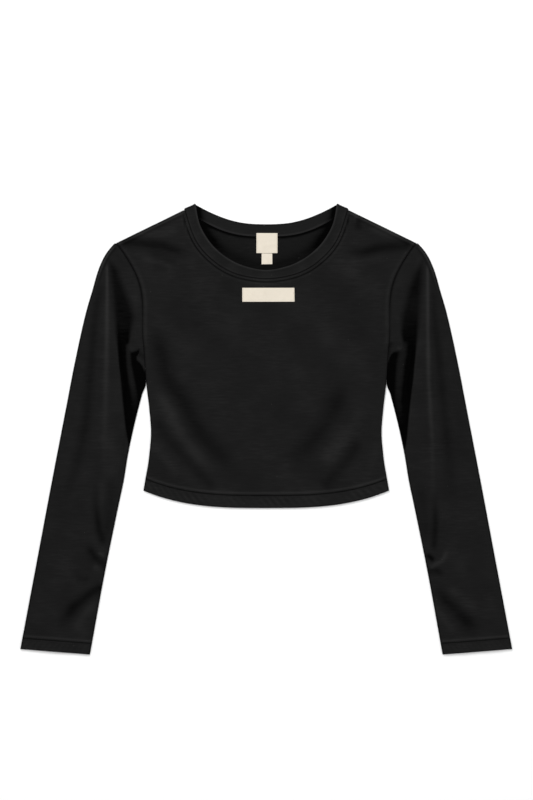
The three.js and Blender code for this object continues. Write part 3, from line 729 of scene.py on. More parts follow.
@dataclass(frozen=True)
class WovenFinish:
    """A pale woven ribbon with a fine plain weave."""

    name: str
    face: tuple[float, float, float] = (0.665, 0.605, 0.51)
    shade: tuple[float, float, float] = (0.46, 0.39, 0.31)
    roughness: float = 0.72
    specular: float = 0.2
    thread: float = 0.00042
    relief: float = 0.25
    relief_depth: float = 0.0002
    weave_shade: float = 0.05
    wear: float = 0.25

    def build(self, groups: ShaderGroups) -> bpy.types.Material:
        """Make the material.

        Args:
            groups: The shared shader effects.

        Returns:
            The finished material.
        """
        finish = Finish(self.name)
        bench = finish.bench
        parts = bench.add("ShaderNodeSeparateXYZ", {0: finish.place}).outputs
        waves = [bench.math("SINE", bench.math("MULTIPLY", part, 2 * math.pi / self.thread))
                 for part in (parts[0], parts[1])]
        weave = bench.math("MULTIPLY", *waves)
        lint = finish.group(groups.lint, Patches=self.wear)
        # The weave's own threads and wear darken the ribbon, and the label's painted shading lightens or
        # darkens it.
        dark = bench.math("SUBTRACT", bench.math("MULTIPLY", weave, self.weave_shade), finish.tone())
        dark = bench.math("ADD", dark, bench.math("SUBTRACT", 1.0, lint["Patch"]), clamp=True)
        colour = bench.blend(dark, (*self.face, 1.0), (*self.shade, 1.0))
        bump = bench.add("ShaderNodeBump", {"Strength": self.relief, "Distance": self.relief_depth,
                                            "Height": weave})
        bench.join({"Base Color": colour, "Normal": bump.outputs[0]}, finish.shader)
        finish.set(roughness=self.roughness, specular=self.specular)
        return finish.material


@dataclass(frozen=True)
class ThreadFinish:
    """Sewing thread, with its twist along the stitch."""

    name: str
    light: tuple[float, float, float]
    dark: tuple[float, float, float]
    roughness: float = 0.6
    specular: float = 0.2
    twist_scale: float = 1400.0

    def build(self, groups: ShaderGroups) -> bpy.types.Material:
        """Make the material.

        Args:
            groups: The shared shader effects.

        Returns:
            The finished material.
        """
        finish = Finish(self.name)
        bench = finish.bench
        lint = finish.group(groups.lint)
        twist = bench.noise(finish.place, self.twist_scale)
        share = bench.math("MULTIPLY", twist, lint["Patch"], clamp=True)
        colour = bench.blend(share, (*self.light, 1.0), (*self.dark, 1.0))
        bench.join({"Base Color": colour}, finish.shader)
        finish.set(roughness=self.roughness, specular=self.specular)
        return finish.material


def add_object(name: str, data: bpy.types.ID) -> bpy.types.Object:
    """Make an object at the origin and link it into the scene."""
    made = bpy.data.objects.new(name, data)
    bpy.context.scene.collection.objects.link(made)
    return made


@dataclass(frozen=True)
class Skin:
    """The closed outside of one cloth piece, as points in millimetres, faces and a painted shading for each
    point.
    """

    points: np.ndarray
    faces: np.ndarray
    tone: np.ndarray

    def piece(self, name: str, material: bpy.types.Material) -> bpy.types.Object:
        """Make the object, at the origin, with its faces outwards.

        Args:
            name: The piece's name.
            material: Its finish.

        Returns:
            The new object, linked into the scene.
        """
        corners = self.points[self.faces]
        first = np.einsum("ij,ij->i", corners[:, 0], np.cross(corners[:, 1], corners[:, 2]))
        second = np.einsum("ij,ij->i", corners[:, 0], np.cross(corners[:, 2], corners[:, 3]))
        faces = self.faces if (first + second).sum() > 0 else self.faces[:, ::-1]
        rounds = []
        for face in faces.tolist():
            kept = [number for step, number in enumerate(face) if number != face[step - 1]]
            if len(kept) > 2:
                rounds.append(kept)
        used = sorted({number for face in rounds for number in face})
        renumber = {number: step for step, number in enumerate(used)}
        rounds = [[renumber[number] for number in face] for face in rounds]
        mesh = bpy.data.meshes.new(name)
        mesh.from_pydata((self.points[used] * MM).tolist(), [], rounds)
        layer = mesh.attributes.new("tone", "FLOAT", "POINT")
        layer.data.foreach_set("value", self.tone[used].astype(np.float32))
        mesh.polygons.foreach_set("use_smooth", np.ones(len(mesh.polygons), bool))
        mesh.materials.append(material)
        mesh.update()
        return add_object(name, mesh)


def grid_faces(numbers: np.ndarray) -> np.ndarray:
    """List the four-cornered faces of a grid of point numbers."""
    corners = (numbers[:-1, :-1], numbers[:-1, 1:], numbers[1:, 1:], numbers[1:, :-1])
    return np.stack(corners, axis=-1).reshape(-1, 4)


def split_corners(faces: np.ndarray, numbers: np.ndarray) -> np.ndarray:
    """Cut a grid's four corner faces through their corners, so that its two sides never lie on each other.

    Args:
        faces: The grid's faces.
        numbers: The grid of point numbers.

    Returns:
        The faces, with two three-cornered ones in place of each corner face.
    """
    tips = numbers[[0, 0, -1, -1], [0, -1, 0, -1]]
    at_tip = np.isin(faces, tips).any(axis=1)
    split = []
    for face in faces[at_tip]:
        start = int(np.argmax(np.isin(face, tips)))
        tip, left, middle, right = np.roll(face, -start)
        split += [(tip, left, middle, middle), (tip, middle, right, right)]
    return np.vstack([faces[~at_tip], split])


def sheet_skin(x: np.ndarray, y: np.ndarray, top: np.ndarray, bottom: np.ndarray,
               top_tone: np.ndarray, bottom_tone: np.ndarray) -> Skin:
    """Close two grids that meet at their rims, with a rounded edge.

    Args:
        x: Places across, the two outermost rings close together.
        y: Places along.
        top: Heights of the upper side.
        bottom: Heights of the lower side.
        top_tone: Painted shading of the upper side.
        bottom_tone: Painted shading of the lower side.

    Returns:
        The closed skin.
    """
    rows, columns = x.shape
    row = np.minimum(np.arange(rows), np.arange(rows)[::-1])[:, None]
    column = np.minimum(np.arange(columns), np.arange(columns)[::-1])[None, :]
    ring = np.minimum(row, column)
    fullness = np.array(RIM_FULLNESS)[np.minimum(ring, len(RIM_FULLNESS) - 1)]
    middle = (top + bottom) / 2
    half = (top - bottom) / 2 * fullness
    upper = np.stack([x, y, middle + half], axis=-1).reshape(-1, 3)
    lower = np.stack([x, y, middle - half], axis=-1).reshape(-1, 3)
    numbers = np.arange(rows * columns).reshape(rows, columns)
    below = np.where(fullness == 0, numbers, numbers + rows * columns)
    sides = ((numbers, 1), (below, -1))
    faces = np.vstack([split_corners(grid_faces(grid), grid)[:, ::turn] for grid, turn in sides])
    tone = np.concatenate([top_tone.ravel(), bottom_tone.ravel()])
    return Skin(np.vstack([upper, lower]), faces, tone)


def edged(values: np.ndarray, reach: float, rim: float) -> np.ndarray:
    """Add the close rings that round off both ends of a run of places.

    Args:
        values: The places in turn.
        reach: The run's real length, in the unit of rim.
        rim: How far in from the end the cloth is at its full thickness.

    Returns:
        The places with two more at each end.
    """
    first = values[0]
    last = values[-1]
    close = np.array(RIM_PLACES) * rim / reach * (last - first)
    clear = close[-1] * 1.5
    inside = values[(values > first + clear) & (values < last - clear)]
    return np.concatenate([[first], first + close, inside, last - close[::-1], [last]])


@dataclass(frozen=True)
class TurnUp:
    """A turned-up edge: its doubled cloth, its rows of stitches, the ridge past them and its ripples.

    Stitch_line and edge are distances from the garment's end. Doubled, groove, ridge and ripple are each a
    height and a painted shading: a painted highlight on the doubled cloth, the ridge and the ripples' crests,
    and painted shade in the groove and the ripples' troughs. Wander, from 0 to 1, is how unevenly the ripples
    come and go, by swells that are each a length and a start. The names with under are for the lower side,
    which the stitches draw in, with painted shade along them.
    """

    stitch_line: float
    edge: float
    row_step: float
    doubled: tuple[float, float]
    groove: tuple[float, float]
    ridge: tuple[float, float]
    ripple: tuple[float, float]
    ripple_pitch: float
    ripple_slant: float
    ripple_middle: float
    ripple_spread: float
    wander: float = 0.0
    lap: float = 2.0
    groove_width: float = 1.3
    ridge_width: float = 1.7
    swells: tuple[tuple[float, float], ...] = ((31.0, 1.3), (12.7, 0.4))
    sway_length: float = 23.0
    under_width: float = 1.4
    under_lift: float = 0.25
    under_shade: float = 0.5

    def rows(self) -> tuple[float, float]:
        """Give the distances of its two rows of stitches."""
        return self.stitch_line - self.row_step, self.stitch_line + self.row_step

    def relief(self, above: np.ndarray, x: np.ndarray) -> tuple[np.ndarray, np.ndarray]:
        """Shape the upper side.

        Args:
            above: Distances from the garment's end.
            x: Places across.

        Returns:
            The height and the tone that it adds.
        """
        doubled = 1 - ease(self.stitch_line - self.lap, self.stitch_line, above)
        groove = hump(above - self.stitch_line, self.groove_width)
        ridge = hump(above - self.edge, self.ridge_width)
        slow, quick = (np.sin(x / length + start) for length, start in self.swells)
        uneven = 1 + self.wander / 2 * (slow * quick - 1)
        phase = 2 * math.pi * (x + self.ripple_slant * above) / self.ripple_pitch
        ripple = np.sin(phase + self.wander * np.sin(x / self.sway_length)) * uneven
        ripple = ripple * hump(above - self.ripple_middle, self.ripple_spread)
        height, tone = (self.doubled[kind] * doubled - self.groove[kind] * groove
                        + self.ridge[kind] * ridge + self.ripple[kind] * ripple for kind in (0, 1))
        return height, tone

    def under(self, above: np.ndarray) -> tuple[np.ndarray, np.ndarray]:
        """Give the height and the tone that the stitches add to the lower side."""
        drawn = hump(above - self.stitch_line, self.under_width)
        return self.under_lift * drawn, -self.under_shade * drawn


@dataclass
class Body:
    """The front and back panels, on one outline.

    Allowance_ridge is the half width, the height and the painted highlight of the ridge over a seam's turned
    cloth, and rim_shade the half width and the strength of the painted shade line along an edge. Smooth_side
    and smooth_hem are how far in from the edges the cloth goes from smooth to rumpled.
    """

    hem_centre: float = -110.0
    hem_corner: float = -85.5
    half_width: float = 172.0
    hem_power: float = 3.0
    side_power: float = 1.12
    side_bend: int = 3
    dome_height: float = 2.4
    dome_power: float = 6.0
    dome_reach: float = 70.0
    dome_start: float = 12.0
    neck_flatness: float = 0.3
    neck_reach: tuple[float, float] = (150.0, 290.0)
    armhole_lift: float = 1.4
    armhole_width: float = 60.0
    armhole_start: tuple[float, float] = (110.0, 150.0)
    armhole_end: tuple[float, float] = (205.0, 255.0)
    seam_start: tuple[float, float] = (112.0, 124.0)
    seam_faint: float = 0.35
    seam_strong: tuple[float, float] = (150.0, 200.0)
    allowance: float = 4.2
    allowance_ridge: tuple[float, float, float] = (2.4, 0.35, 0.2)
    rim_shade: tuple[float, float] = (1.1, 0.5)
    smooth_side: float = 25.0
    smooth_hem: tuple[float, float] = (-4.0, 20.0)
    back_rumple_painted_shading: float = 0.3
    inside_shade: float = 0.26
    rim: float = 0.6
    panel_height: float = 360.0
    turn_up: TurnUp = TurnUp(
        stitch_line=17.5, edge=20.8, row_step=1.4,
        doubled=(0.35, 0.1), groove=(0.5, 0.66), ridge=(0.35, 0.42), ripple=(0.12, 0.2),
        ripple_pitch=10.6, ripple_slant=0.9, ripple_middle=9.0, ripple_spread=6.5, wander=1.0)
    front_rumple: Rumple = field(default_factory=lambda: Rumple(seed=11))
    back_rumple: Rumple = field(default_factory=lambda: Rumple(seed=23, height=0.1))

    def __post_init__(self) -> None:
        """Thread the neck's seams, and place the lines beside them and the shade inside the back."""
        self.front_neck = EdgeCurve(NECK_FRONT[:, 2:])
        self.back_neck = EdgeCurve(NECK_BACK[:, 2:])
        seam = self.beside_neck(self.front_neck, self.allowance)
        middle = self.beside_neck(self.front_neck, self.allowance * 0.45)
        outside = self.beside_neck(self.front_neck, self.allowance + 2.6)
        # Small folds beside the neck seam, each with painted shading: highlights on the ridges, painted shade
        # in the seam
        self.neck_creases = [
            Crease(middle, 0.4, (1.9, 1.9), 0.14, power=4, ends=(0, 0)),
            Crease(seam, -0.35, (1.0, 1.0), -0.7, ends=(0, 0)),
            Crease(outside, 0.2, (2.0, 2.0), 0.14, ends=(0, 0)),
        ]
        shoulder = np.array([NECK_POINT, SHOULDER_POINT])
        down = np.array([-0.44, -0.9])
        for distance, depth, width, tone in SHOULDER_LINES:
            line = [tuple(point) for point in shoulder + down * distance]
            for path in (line, mirrored(line)):
                self.neck_creases.append(Crease(path, depth, (width, width), tone, ends=(0.05, 0)))
        # Painted shade that the front casts on the back inside the neck, and a painted shade line beside the
        # back's neck seam, each over a faint dent
        self.inside_painted_shade = [
            Crease(mirrored(INSIDE_SHADE[:0:-1]) + INSIDE_SHADE, -0.1, (10, 10), -0.42, ends=(0, 0)),
            Crease(INSIDE_SHADE[2:], -0.1, (6, 9), -0.4, ends=(0.5, 0)),
            Crease(mirrored(INSIDE_SHADE[2:]), -0.1, (6, 9), -0.4, ends=(0.5, 0)),
            Crease(self.beside_neck(self.back_neck, 1.2), -0.1, (2.0, 2.0), -0.75, ends=(0, 0)),
        ]

    def beside_neck(self, neck: EdgeCurve, distance: float, count: int = 28) -> list[tuple[float, float]]:
        """Follow the whole neck seam at a distance from it.

        Args:
            neck: The right half of the seam.
            distance: How far outside the neck opening the line runs.
            count: How many points each half gets.

        Returns:
            The line from the left shoulder round to the right one.
        """
        share = np.linspace(0, 0.995, count)
        x, y = neck.at(share)
        ahead_x, ahead_y = neck.at(share + 0.005)
        length = np.hypot(ahead_x - x, ahead_y - y)
        right = list(zip(x + (ahead_y - y) / length * distance, y - (ahead_x - x) / length * distance))
        return [(-px, py) for px, py in reversed(right[1:])] + right

    def hem(self, x: np.ndarray) -> np.ndarray:
        """Give the hem's place along the body."""
        share = np.abs(np.asarray(x, float) / self.half_width) ** self.hem_power
        return mix(self.hem_centre, self.hem_corner, share)

    def side(self, y: np.ndarray) -> np.ndarray:
        """Give the side's distance from the middle."""
        return between(SIDE[:, 0], SIDE[:, 1], y)

    def place(self, neck: EdgeCurve, u: np.ndarray, w: np.ndarray) -> tuple[np.ndarray, np.ndarray]:
        """Find the place of a share across and a share up a panel.

        Args:
            neck: The panel's neck seam.
            u: From -1 at the left side to 1 at the right side.
            w: From 0 at the hem to 1 at the neck and the shoulders.

        Returns:
            The x and y of each place.
        """
        across = np.abs(u)
        hem_x = self.half_width * across
        shoulder = math.dist(NECK_POINT, SHOULDER_POINT)
        neck_share = neck.length / (neck.length + shoulder)
        neck_x, neck_y = neck.at(np.clip(across / neck_share, 0, 1))
        along = np.clip((across - neck_share) / (1 - neck_share), 0, 1)
        on_neck = across <= neck_share
        top_x = np.where(on_neck, neck_x, mix(NECK_POINT[0], SHOULDER_POINT[0], along))
        top_y = np.where(on_neck, neck_y, mix(NECK_POINT[1], SHOULDER_POINT[1], along))
        straight = mix(self.hem_corner, SHOULDER_POINT[1], w)
        side_y = mix(self.hem_corner, SHOULDER_POINT[1], w ** self.side_power)
        bend = across ** self.side_bend
        x = mix(hem_x, top_x, w) + bend * (self.side(side_y) - mix(self.half_width, SHOULDER_POINT[0], w))
        y = mix(self.hem(hem_x), top_y, w) + bend * (side_y - straight)
        return np.sign(u) * x, y

    def grid(self, neck: EdgeCurve, columns: int, rows: int) -> tuple[np.ndarray, np.ndarray]:
        """Lay out a panel's grid, closer at the hem, the neck and the edges.

        Args:
            neck: The panel's neck seam.
            columns: Cells across.
            rows: Cells in the main part of the height.

        Returns:
            The x and y of each grid point.
        """
        u = edged(np.linspace(-1, 1, columns + 1), 2 * self.half_width, self.rim)
        hem = np.arange(0, 0.072, 0.0032)
        main = np.linspace(0.075, 0.955, rows)
        top = np.linspace(0.958, 1, 17)
        w = edged(np.concatenate([hem, main, top]), self.panel_height, self.rim)
        return self.place(neck, *np.meshgrid(u, w))

    def front_top(self, x: np.ndarray, y: np.ndarray) -> np.ndarray:
        """Give the smooth height of the front's upper side, without its creases."""
        side = self.side(y)
        across = np.minimum(1, np.abs(x) / side)
        neck = mix(1, self.neck_flatness, ease(*self.neck_reach, y))
        rise = self.dome_height * (1 - across ** self.dome_power)
        rise = rise * ease(0, self.dome_reach, y - self.hem(x) + self.dome_start) * neck
        near = 1 - ease(0, self.armhole_width, side - np.abs(x))
        beside = ease(*self.armhole_start, y) * (1 - ease(*self.armhole_end, y))
        return LAYER_TOP + rise + self.armhole_lift * near * beside

    def seam_strength(self, y: np.ndarray) -> np.ndarray:
        """Give how strongly the armhole seam's painted shade line shows, which is faint near the underarm."""
        return mix(self.seam_faint, 1, ease(*self.seam_strong, y))

    def front_height(self, x: np.ndarray, y: np.ndarray) -> tuple[np.ndarray, np.ndarray]:
        """Shape the front's upper side as it lies.

        Args:
            x: Places across.
            y: Places along.

        Returns:
            The height and the tone of each place.
        """
        ridge_width, ridge_height, ridge_tone = self.allowance_ridge
        rim_width, rim_shade = self.rim_shade
        height, tone = creased(FRONT_CREASES + self.neck_creases, x, y)
        above = y - self.hem(x)
        hem_height, hem_tone = self.turn_up.relief(above, x)
        near = self.side(y) - np.abs(x)
        beside_arm = ease(*self.seam_start, y)
        ridge = hump(near - self.allowance, ridge_width) * beside_arm
        seam = hump(near, SEAM_WIDTH) * beside_arm * self.seam_strength(y)
        rumple = self.front_rumple.at(x, y) * ease(0, self.smooth_side, near) * ease(*self.smooth_hem, above)
        rim = hump(np.minimum(above, np.where(beside_arm > 0.5, FAR, near)), rim_width)
        height = height + hem_height + ridge_height * ridge + rumple
        # Painted shading: the creases' and the hem's, a highlight on the allowance ridge, painted shade in
        # the armhole seam and along the edges, and the rumples'
        tone = tone + hem_tone + ridge_tone * ridge - SEAM_SHADE * seam - rim_shade * rim
        tone = tone + rumple * RUMPLE_PAINTED_SHADING
        return np.maximum(self.front_top(x, y) + height, LAYER_TOP), tone

    def back_base(self, x: np.ndarray, y: np.ndarray) -> tuple[np.ndarray, np.ndarray]:
        """Shape the back's lower side, which lies on the floor apart from its creases.

        Args:
            x: Places across.
            y: Places along.

        Returns:
            The height and the tone of each place.
        """
        smooth_room = np.maximum(self.front_top(x, y) - LAYER_TOP, 0.0)
        creased_room = np.maximum(self.front_height(x, y)[0] - LAYER_TOP, 0.0)
        # Where the lower side lifts off the floor, painted shade darkens it
        height, tone = creased(BACK_CREASES, x, y)
        rumple = self.back_rumple.at(x, y)
        drawn, drawn_tone = self.turn_up.under(y - self.hem(x))
        lift = np.clip(height + rumple, 0, smooth_room * LIFT_SHARE) + drawn
        return np.minimum(lift, creased_room), tone + drawn_tone - rumple * self.back_rumple_painted_shading

    def front(self, material: bpy.types.Material) -> bpy.types.Object:
        """Make the front panel."""
        x, y = self.grid(self.front_neck, columns=156, rows=128)
        height, tone = self.front_height(x, y)
        skin = sheet_skin(x, y, height, height - CLOTH, tone, tone * FRONT_INSIDE_PAINTED_SHADING)
        return skin.piece("front_body", material)

    def back(self, material: bpy.types.Material) -> bpy.types.Object:
        """Make the back panel."""
        x, y = self.grid(self.back_neck, columns=130, rows=110)
        base, tone = self.back_base(x, y)
        # The back's inside gets the painted shade from the neck and is darker all over by inside_shade, a
        # painted shade
        inside, inside_tone = creased(self.inside_painted_shade, x, y)
        top = base + CLOTH + np.minimum(inside, 0)
        skin = sheet_skin(x, y, top, base, inside_tone - self.inside_shade, tone)
        return skin.piece("back_body", material)


class Side(Enum):
    """Which side of the picture a sleeve lies on."""

    LEFT = -1
    RIGHT = 1


@dataclass
class Sleeve:
    """One sleeve, a flattened tube that opens into the armhole.

    Smooth_sides are how far in from its inner and its outer edge it goes from smooth to rumpled. Seam_end and
    arm_start are the heights where the painted shade lines of the armhole seam and of the arm's inner edge
    come in.
    """

    side: Side
    body: Body
    top: float = 260.4
    parting: tuple[float, float] = (50.0, 72.0)
    cuff_inner: float = -315.0
    cuff_outer: float = -307.5
    cuff_length: float = 24.0
    lift: float = 1.35
    lip_drop: float = 7.0
    mouth_edge: float = 0.6
    mouth_rows: int = 84
    mouth_crowding: float = 1.15
    arm_rows: int = 176
    cuff_rows: int = 22
    upper_columns: int = 68
    lower_columns: int = 30
    fold_steps: int = 7
    steepest: float = 2.2
    smooth_sides: tuple[float, float] = (10.0, 14.0)
    seam_end: tuple[float, float] = (110.0, 122.0)
    arm_start: tuple[float, float] = (56.0, 76.0)
    rim_width: float = 0.8
    rim_shade: float = 0.4
    turn_up: TurnUp = TurnUp(
        stitch_line=15.5, edge=18.6, row_step=1.3,
        doubled=(0.3, 0.08), groove=(0.45, 0.6), ridge=(0.3, 0.4), ripple=(0.12, 0.06),
        ripple_pitch=8.1, ripple_slant=0.8, ripple_middle=8.0, ripple_spread=5.5, under_lift=0.2)

    def __post_init__(self) -> None:
        """Choose the folds of this side."""
        left = self.side is Side.LEFT
        self.name = self.side.name.lower()
        self.folds = LEFT_FOLDS if left else RIGHT_FOLDS
        self.creases = LEFT_CREASES + LEFT_PAINTED_SHADE_TUCKS if left else RIGHT_CREASES + RIGHT_PAINTED_SHADE_TUCKS
        self.under = [replace(crease, path=mirrored(crease.path)) if left else crease
                      for crease in UNDER_SLEEVE_CREASES]
        self.rumple = Rumple(seed=31 if left else 47, height=0.14, longest=70)
        y = np.linspace(256, 190, 9)
        edge = between(SLEEVE_OUTER[:, 0], SLEEVE_OUTER[:, 1], y)
        # Painted highlight and shade lines along the sleeve head, with no fold under them
        for inset, tone in CAP_LINES:
            path = list(zip(self.side.value * (edge - inset), y - inset * 0.3))
            self.creases = [*self.creases, Crease(path, 0.0, (1.6, 1.6), tone, ends=(0, 0.6))]

    def rows(self) -> tuple[np.ndarray, int]:
        """Give each row's inner height, and how many rows belong to the open mouth."""
        cuff_top = self.cuff_inner + self.cuff_length
        mouth = mix(self.top, UNDERARM_Y, np.linspace(0, 1, self.mouth_rows) ** self.mouth_crowding)
        arm = np.linspace(UNDERARM_Y, cuff_top, self.arm_rows)[1:]
        cuff = np.linspace(cuff_top, self.cuff_inner + 1.0, self.cuff_rows)[1:]
        end = self.cuff_inner + np.array([0.6, 0.2, 0.0])
        return np.concatenate([mouth, arm, cuff, end]), self.mouth_rows - 1

    def profile(self, y: np.ndarray, width: np.ndarray, v: np.ndarray) -> np.ndarray:
        """Read the upper side's height from the table of folds.

        Args:
            y: The height of each row on the sleeve.
            width: The width of each row.
            v: Shares across, from the body's side to the outer side.

        Returns:
            A grid of heights, one row for each y.
        """
        table = self.folds
        lip, ridge, seam_z, foot_z, lip_z, ridge_z, out_z = (
            between(table[:, 0], table[:, column], y) for column in range(1, 8))
        foot = np.maximum(0.45 * lip, lip - self.lip_drop / width)
        none, whole = np.zeros(len(y)), np.ones(len(y))
        keys = np.stack([none, foot / 2, foot, lip, ridge, mix(ridge, 1, 0.6), whole], axis=-1)
        values = np.stack([seam_z, mix(seam_z, foot_z, 0.4), foot_z, lip_z, ridge_z, out_z,
                           LAYER_TOP * whole], axis=-1)
        grid = np.array([between(*row, v) for row in zip(keys, values)])
        return LAYER_TOP + (grid - LAYER_TOP) * self.lift

    def upper(self, y_inner: np.ndarray, inner: np.ndarray, outer: np.ndarray,
              v: np.ndarray) -> tuple[np.ndarray, ...]:
        """Shape the upper side.

        Args:
            y_inner: Each row's height at the inner side.
            inner: Each row's inner end.
            outer: Each row's outer end.
            v: Shares across.

        Returns:
            Grids of x, y, height and tone, with x counted away from the body.
        """
        share = (self.top - y_inner) / (self.top - self.cuff_inner)
        y_outer = mix(self.top, self.cuff_outer, share)
        x = mix(inner[:, None], outer[:, None], v[None, :])
        y = mix(y_inner[:, None], y_outer[:, None], v[None, :])
        from_inner = x - inner[:, None]
        from_outer = outer[:, None] - x
        height, tone = creased(self.creases, x * self.side.value, y)
        cuff_height, cuff_tone = self.turn_up.relief((y_inner - self.cuff_inner)[:, None], x)
        smooth_inner, smooth_outer = self.smooth_sides
        rumple = self.rumple.at(x * self.side.value, y)
        rumple = rumple * ease(0, smooth_outer, from_outer) * ease(0, smooth_inner, from_inner)
        on_seam = ease(*self.seam_end, y_inner)[:, None]
        seam = hump(from_inner, SEAM_WIDTH) * self.body.seam_strength(y) * on_seam
        on_arm = 1 - ease(*self.arm_start, y_inner)[:, None]
        rim = hump(from_outer, self.rim_width) + on_arm * hump(from_inner, self.rim_width)
        z = self.profile(y_inner, outer - inner, v) + height + cuff_height + rumple
        # Painted shading: the creases' and the cuff's, painted shade in the armhole seam and along the edges,
        # and the rumples'
        tone = tone + cuff_tone + RUMPLE_PAINTED_SHADING * rumple - SEAM_SHADE * seam - self.rim_shade * rim
        return x, y, np.maximum(z, LAYER_TOP), tone

    def ends(self, y_inner: np.ndarray, opening: int) -> tuple[np.ndarray, np.ndarray]:
        """Give each row's inner and outer edge, away from the body's middle."""
        share = (self.top - y_inner) / (self.top - self.cuff_inner)
        outer = between(SLEEVE_OUTER[:, 0], SLEEVE_OUTER[:, 1], mix(self.top, self.cuff_outer, share))
        seam = self.body.side(y_inner) + SEAM_GAP
        free = between(SLEEVE_INNER[:, 0], SLEEVE_INNER[:, 1], y_inner)
        free = mix(free, seam, ease(*self.parting, y_inner))
        return np.where(np.arange(len(y_inner)) < opening, seam, free), outer

    def lower(self, x: np.ndarray, y: np.ndarray, y_inner: np.ndarray,
              room: np.ndarray) -> tuple[np.ndarray, np.ndarray]:
        """Shape the lower side, which lies on the floor apart from its creases.

        Args:
            x: Places across, counted away from the body.
            y: Places along.
            y_inner: Each row's height at the inner side.
            room: How far each place can rise before it meets the upper side.

        Returns:
            The height and the tone of each place.
        """
        # The under creases lift the lower side, with painted shade where it lifts
        lifted, tone = creased(self.under, x * self.side.value, y)
        drawn, drawn_tone = self.turn_up.under((y_inner - self.cuff_inner)[:, None])
        height = np.clip(lifted, 0, np.maximum(room, 0) * LIFT_SHARE) + drawn
        return height, tone + drawn_tone

    def piece(self, material: bpy.types.Material) -> bpy.types.Object:
        """Make the sleeve as one closed skin, outside and inside.

        Args:
            material: Its finish.

        Returns:
            The sleeve.
        """
        y_inner, opening = self.rows()
        edge_in, edge_out = self.ends(y_inner, opening)
        is_open = (np.arange(len(y_inner)) < opening)[:, None]
        inner = edge_in + np.where(is_open[:, 0], self.mouth_edge, EDGE)
        outer = edge_out - EDGE
        v = np.linspace(0, 1, self.upper_columns + 1)
        v_low = np.linspace(0, 1, self.lower_columns + 1)
        x, y, z, tone = self.upper(y_inner, inner, outer, v)
        low_x = mix(inner[:, None], outer[:, None], v_low[::-1])
        low_y = mix(y[:, :1], y[:, -1:], v_low[::-1])
        room = np.stack([np.interp(v_low, v, row)[::-1] for row in z]) - LAYER_TOP
        low_z, low_tone = self.lower(low_x, low_y, y_inner, room)

        slope = np.hypot(1, np.gradient(z, axis=1) / np.maximum(np.gradient(x, axis=1), 0.05))
        floor = np.stack([np.interp(v, v_low, row[::-1]) for row in low_z]) + CLOTH
        in_z = np.maximum(z - CLOTH * np.minimum(slope, self.steepest), floor + GAP)
        low_in = low_z + CLOTH

        turn = np.linspace(math.pi / 2, -math.pi / 2, self.fold_steps + 2)[1:-1]
        rings = []
        for out in (True, False):
            top_row, bottom_row = (z, low_z) if out else (in_z, low_in)
            reach = EDGE if out else GAP / 2
            start_z, end_z = top_row[:, -1:], bottom_row[:, :1]
            fold_x = outer[:, None] + reach * np.cos(turn)[None, :]
            fold_z = (start_z + end_z) / 2 + (start_z - end_z) / 2 * np.sin(turn)[None, :]
            fold_y = np.repeat(y[:, -1:], len(turn), axis=1)
            lead_x, lead_z = self.inner_fold(is_open, inner, top_row[:, :1], bottom_row[:, -1:], reach, out)
            lead_y = np.repeat(y[:, :1], lead_x.shape[1], axis=1)
            half = lead_x.shape[1] // 2
            rings.append((
                np.hstack([lead_x[:, :half], x, fold_x, low_x, lead_x[:, half:]]),
                np.hstack([lead_y[:, :half], y, fold_y, low_y, lead_y[:, half:]]),
                np.hstack([lead_z[:, :half], top_row, fold_z, bottom_row, lead_z[:, half:]]),
            ))
        painted_shadings = np.hstack([np.repeat(tone[:, :1], half, axis=1), tone,
                           np.repeat(tone[:, -1:], len(turn), axis=1), low_tone,
                           np.repeat(low_tone[:, -1:], half, axis=1)])
        skin = self.close(rings, painted_shadings, opening)
        skin.points[:, 0] *= self.side.value
        return skin.piece(f"{self.name}_arm", material)

    @staticmethod
    def inner_fold(is_open: np.ndarray, inner: np.ndarray, top: np.ndarray, bottom: np.ndarray,
                   reach: float, out: bool) -> tuple[np.ndarray, np.ndarray]:
        """Round off the side towards the body: a fold on the arm, and two raw edges at the mouth.

        Args:
            is_open: Which rows belong to the mouth.
            inner: Where the flat part of each row starts.
            top: The height at the start of the upper side.
            bottom: The height at the start of the lower side.
            reach: How far the fold stands out.
            out: Whether this is the outside of the cloth.

        Returns:
            Places across and heights, the first half before the upper side and the rest after the lower one.
        """
        quarter = np.linspace(0, math.pi / 2, 4)[:-1]
        sine, cosine = np.sin(quarter)[None, :], np.cos(quarter)[None, :]
        half = (top - bottom) / 2
        fold_x = inner[:, None] - reach * cosine
        fold_top = bottom + half + half * sine
        fold_bottom = bottom + half - half * sine[:, ::-1]
        rim = CLOTH / 2
        centre_top = top - rim if out else top + rim
        centre_bottom = bottom + rim if out else bottom - rim
        sign = 1 if out else -1
        rim_x = inner[:, None] - rim * cosine
        rim_top = centre_top + sign * rim * sine
        rim_bottom = centre_bottom - sign * rim * sine[:, ::-1]
        lead_x = np.hstack([np.where(is_open, rim_x, fold_x), np.where(is_open, rim_x, fold_x)[:, ::-1]])
        lead_z = np.hstack([np.where(is_open, rim_top, fold_top), np.where(is_open, rim_bottom, fold_bottom)])
        return lead_x, lead_z

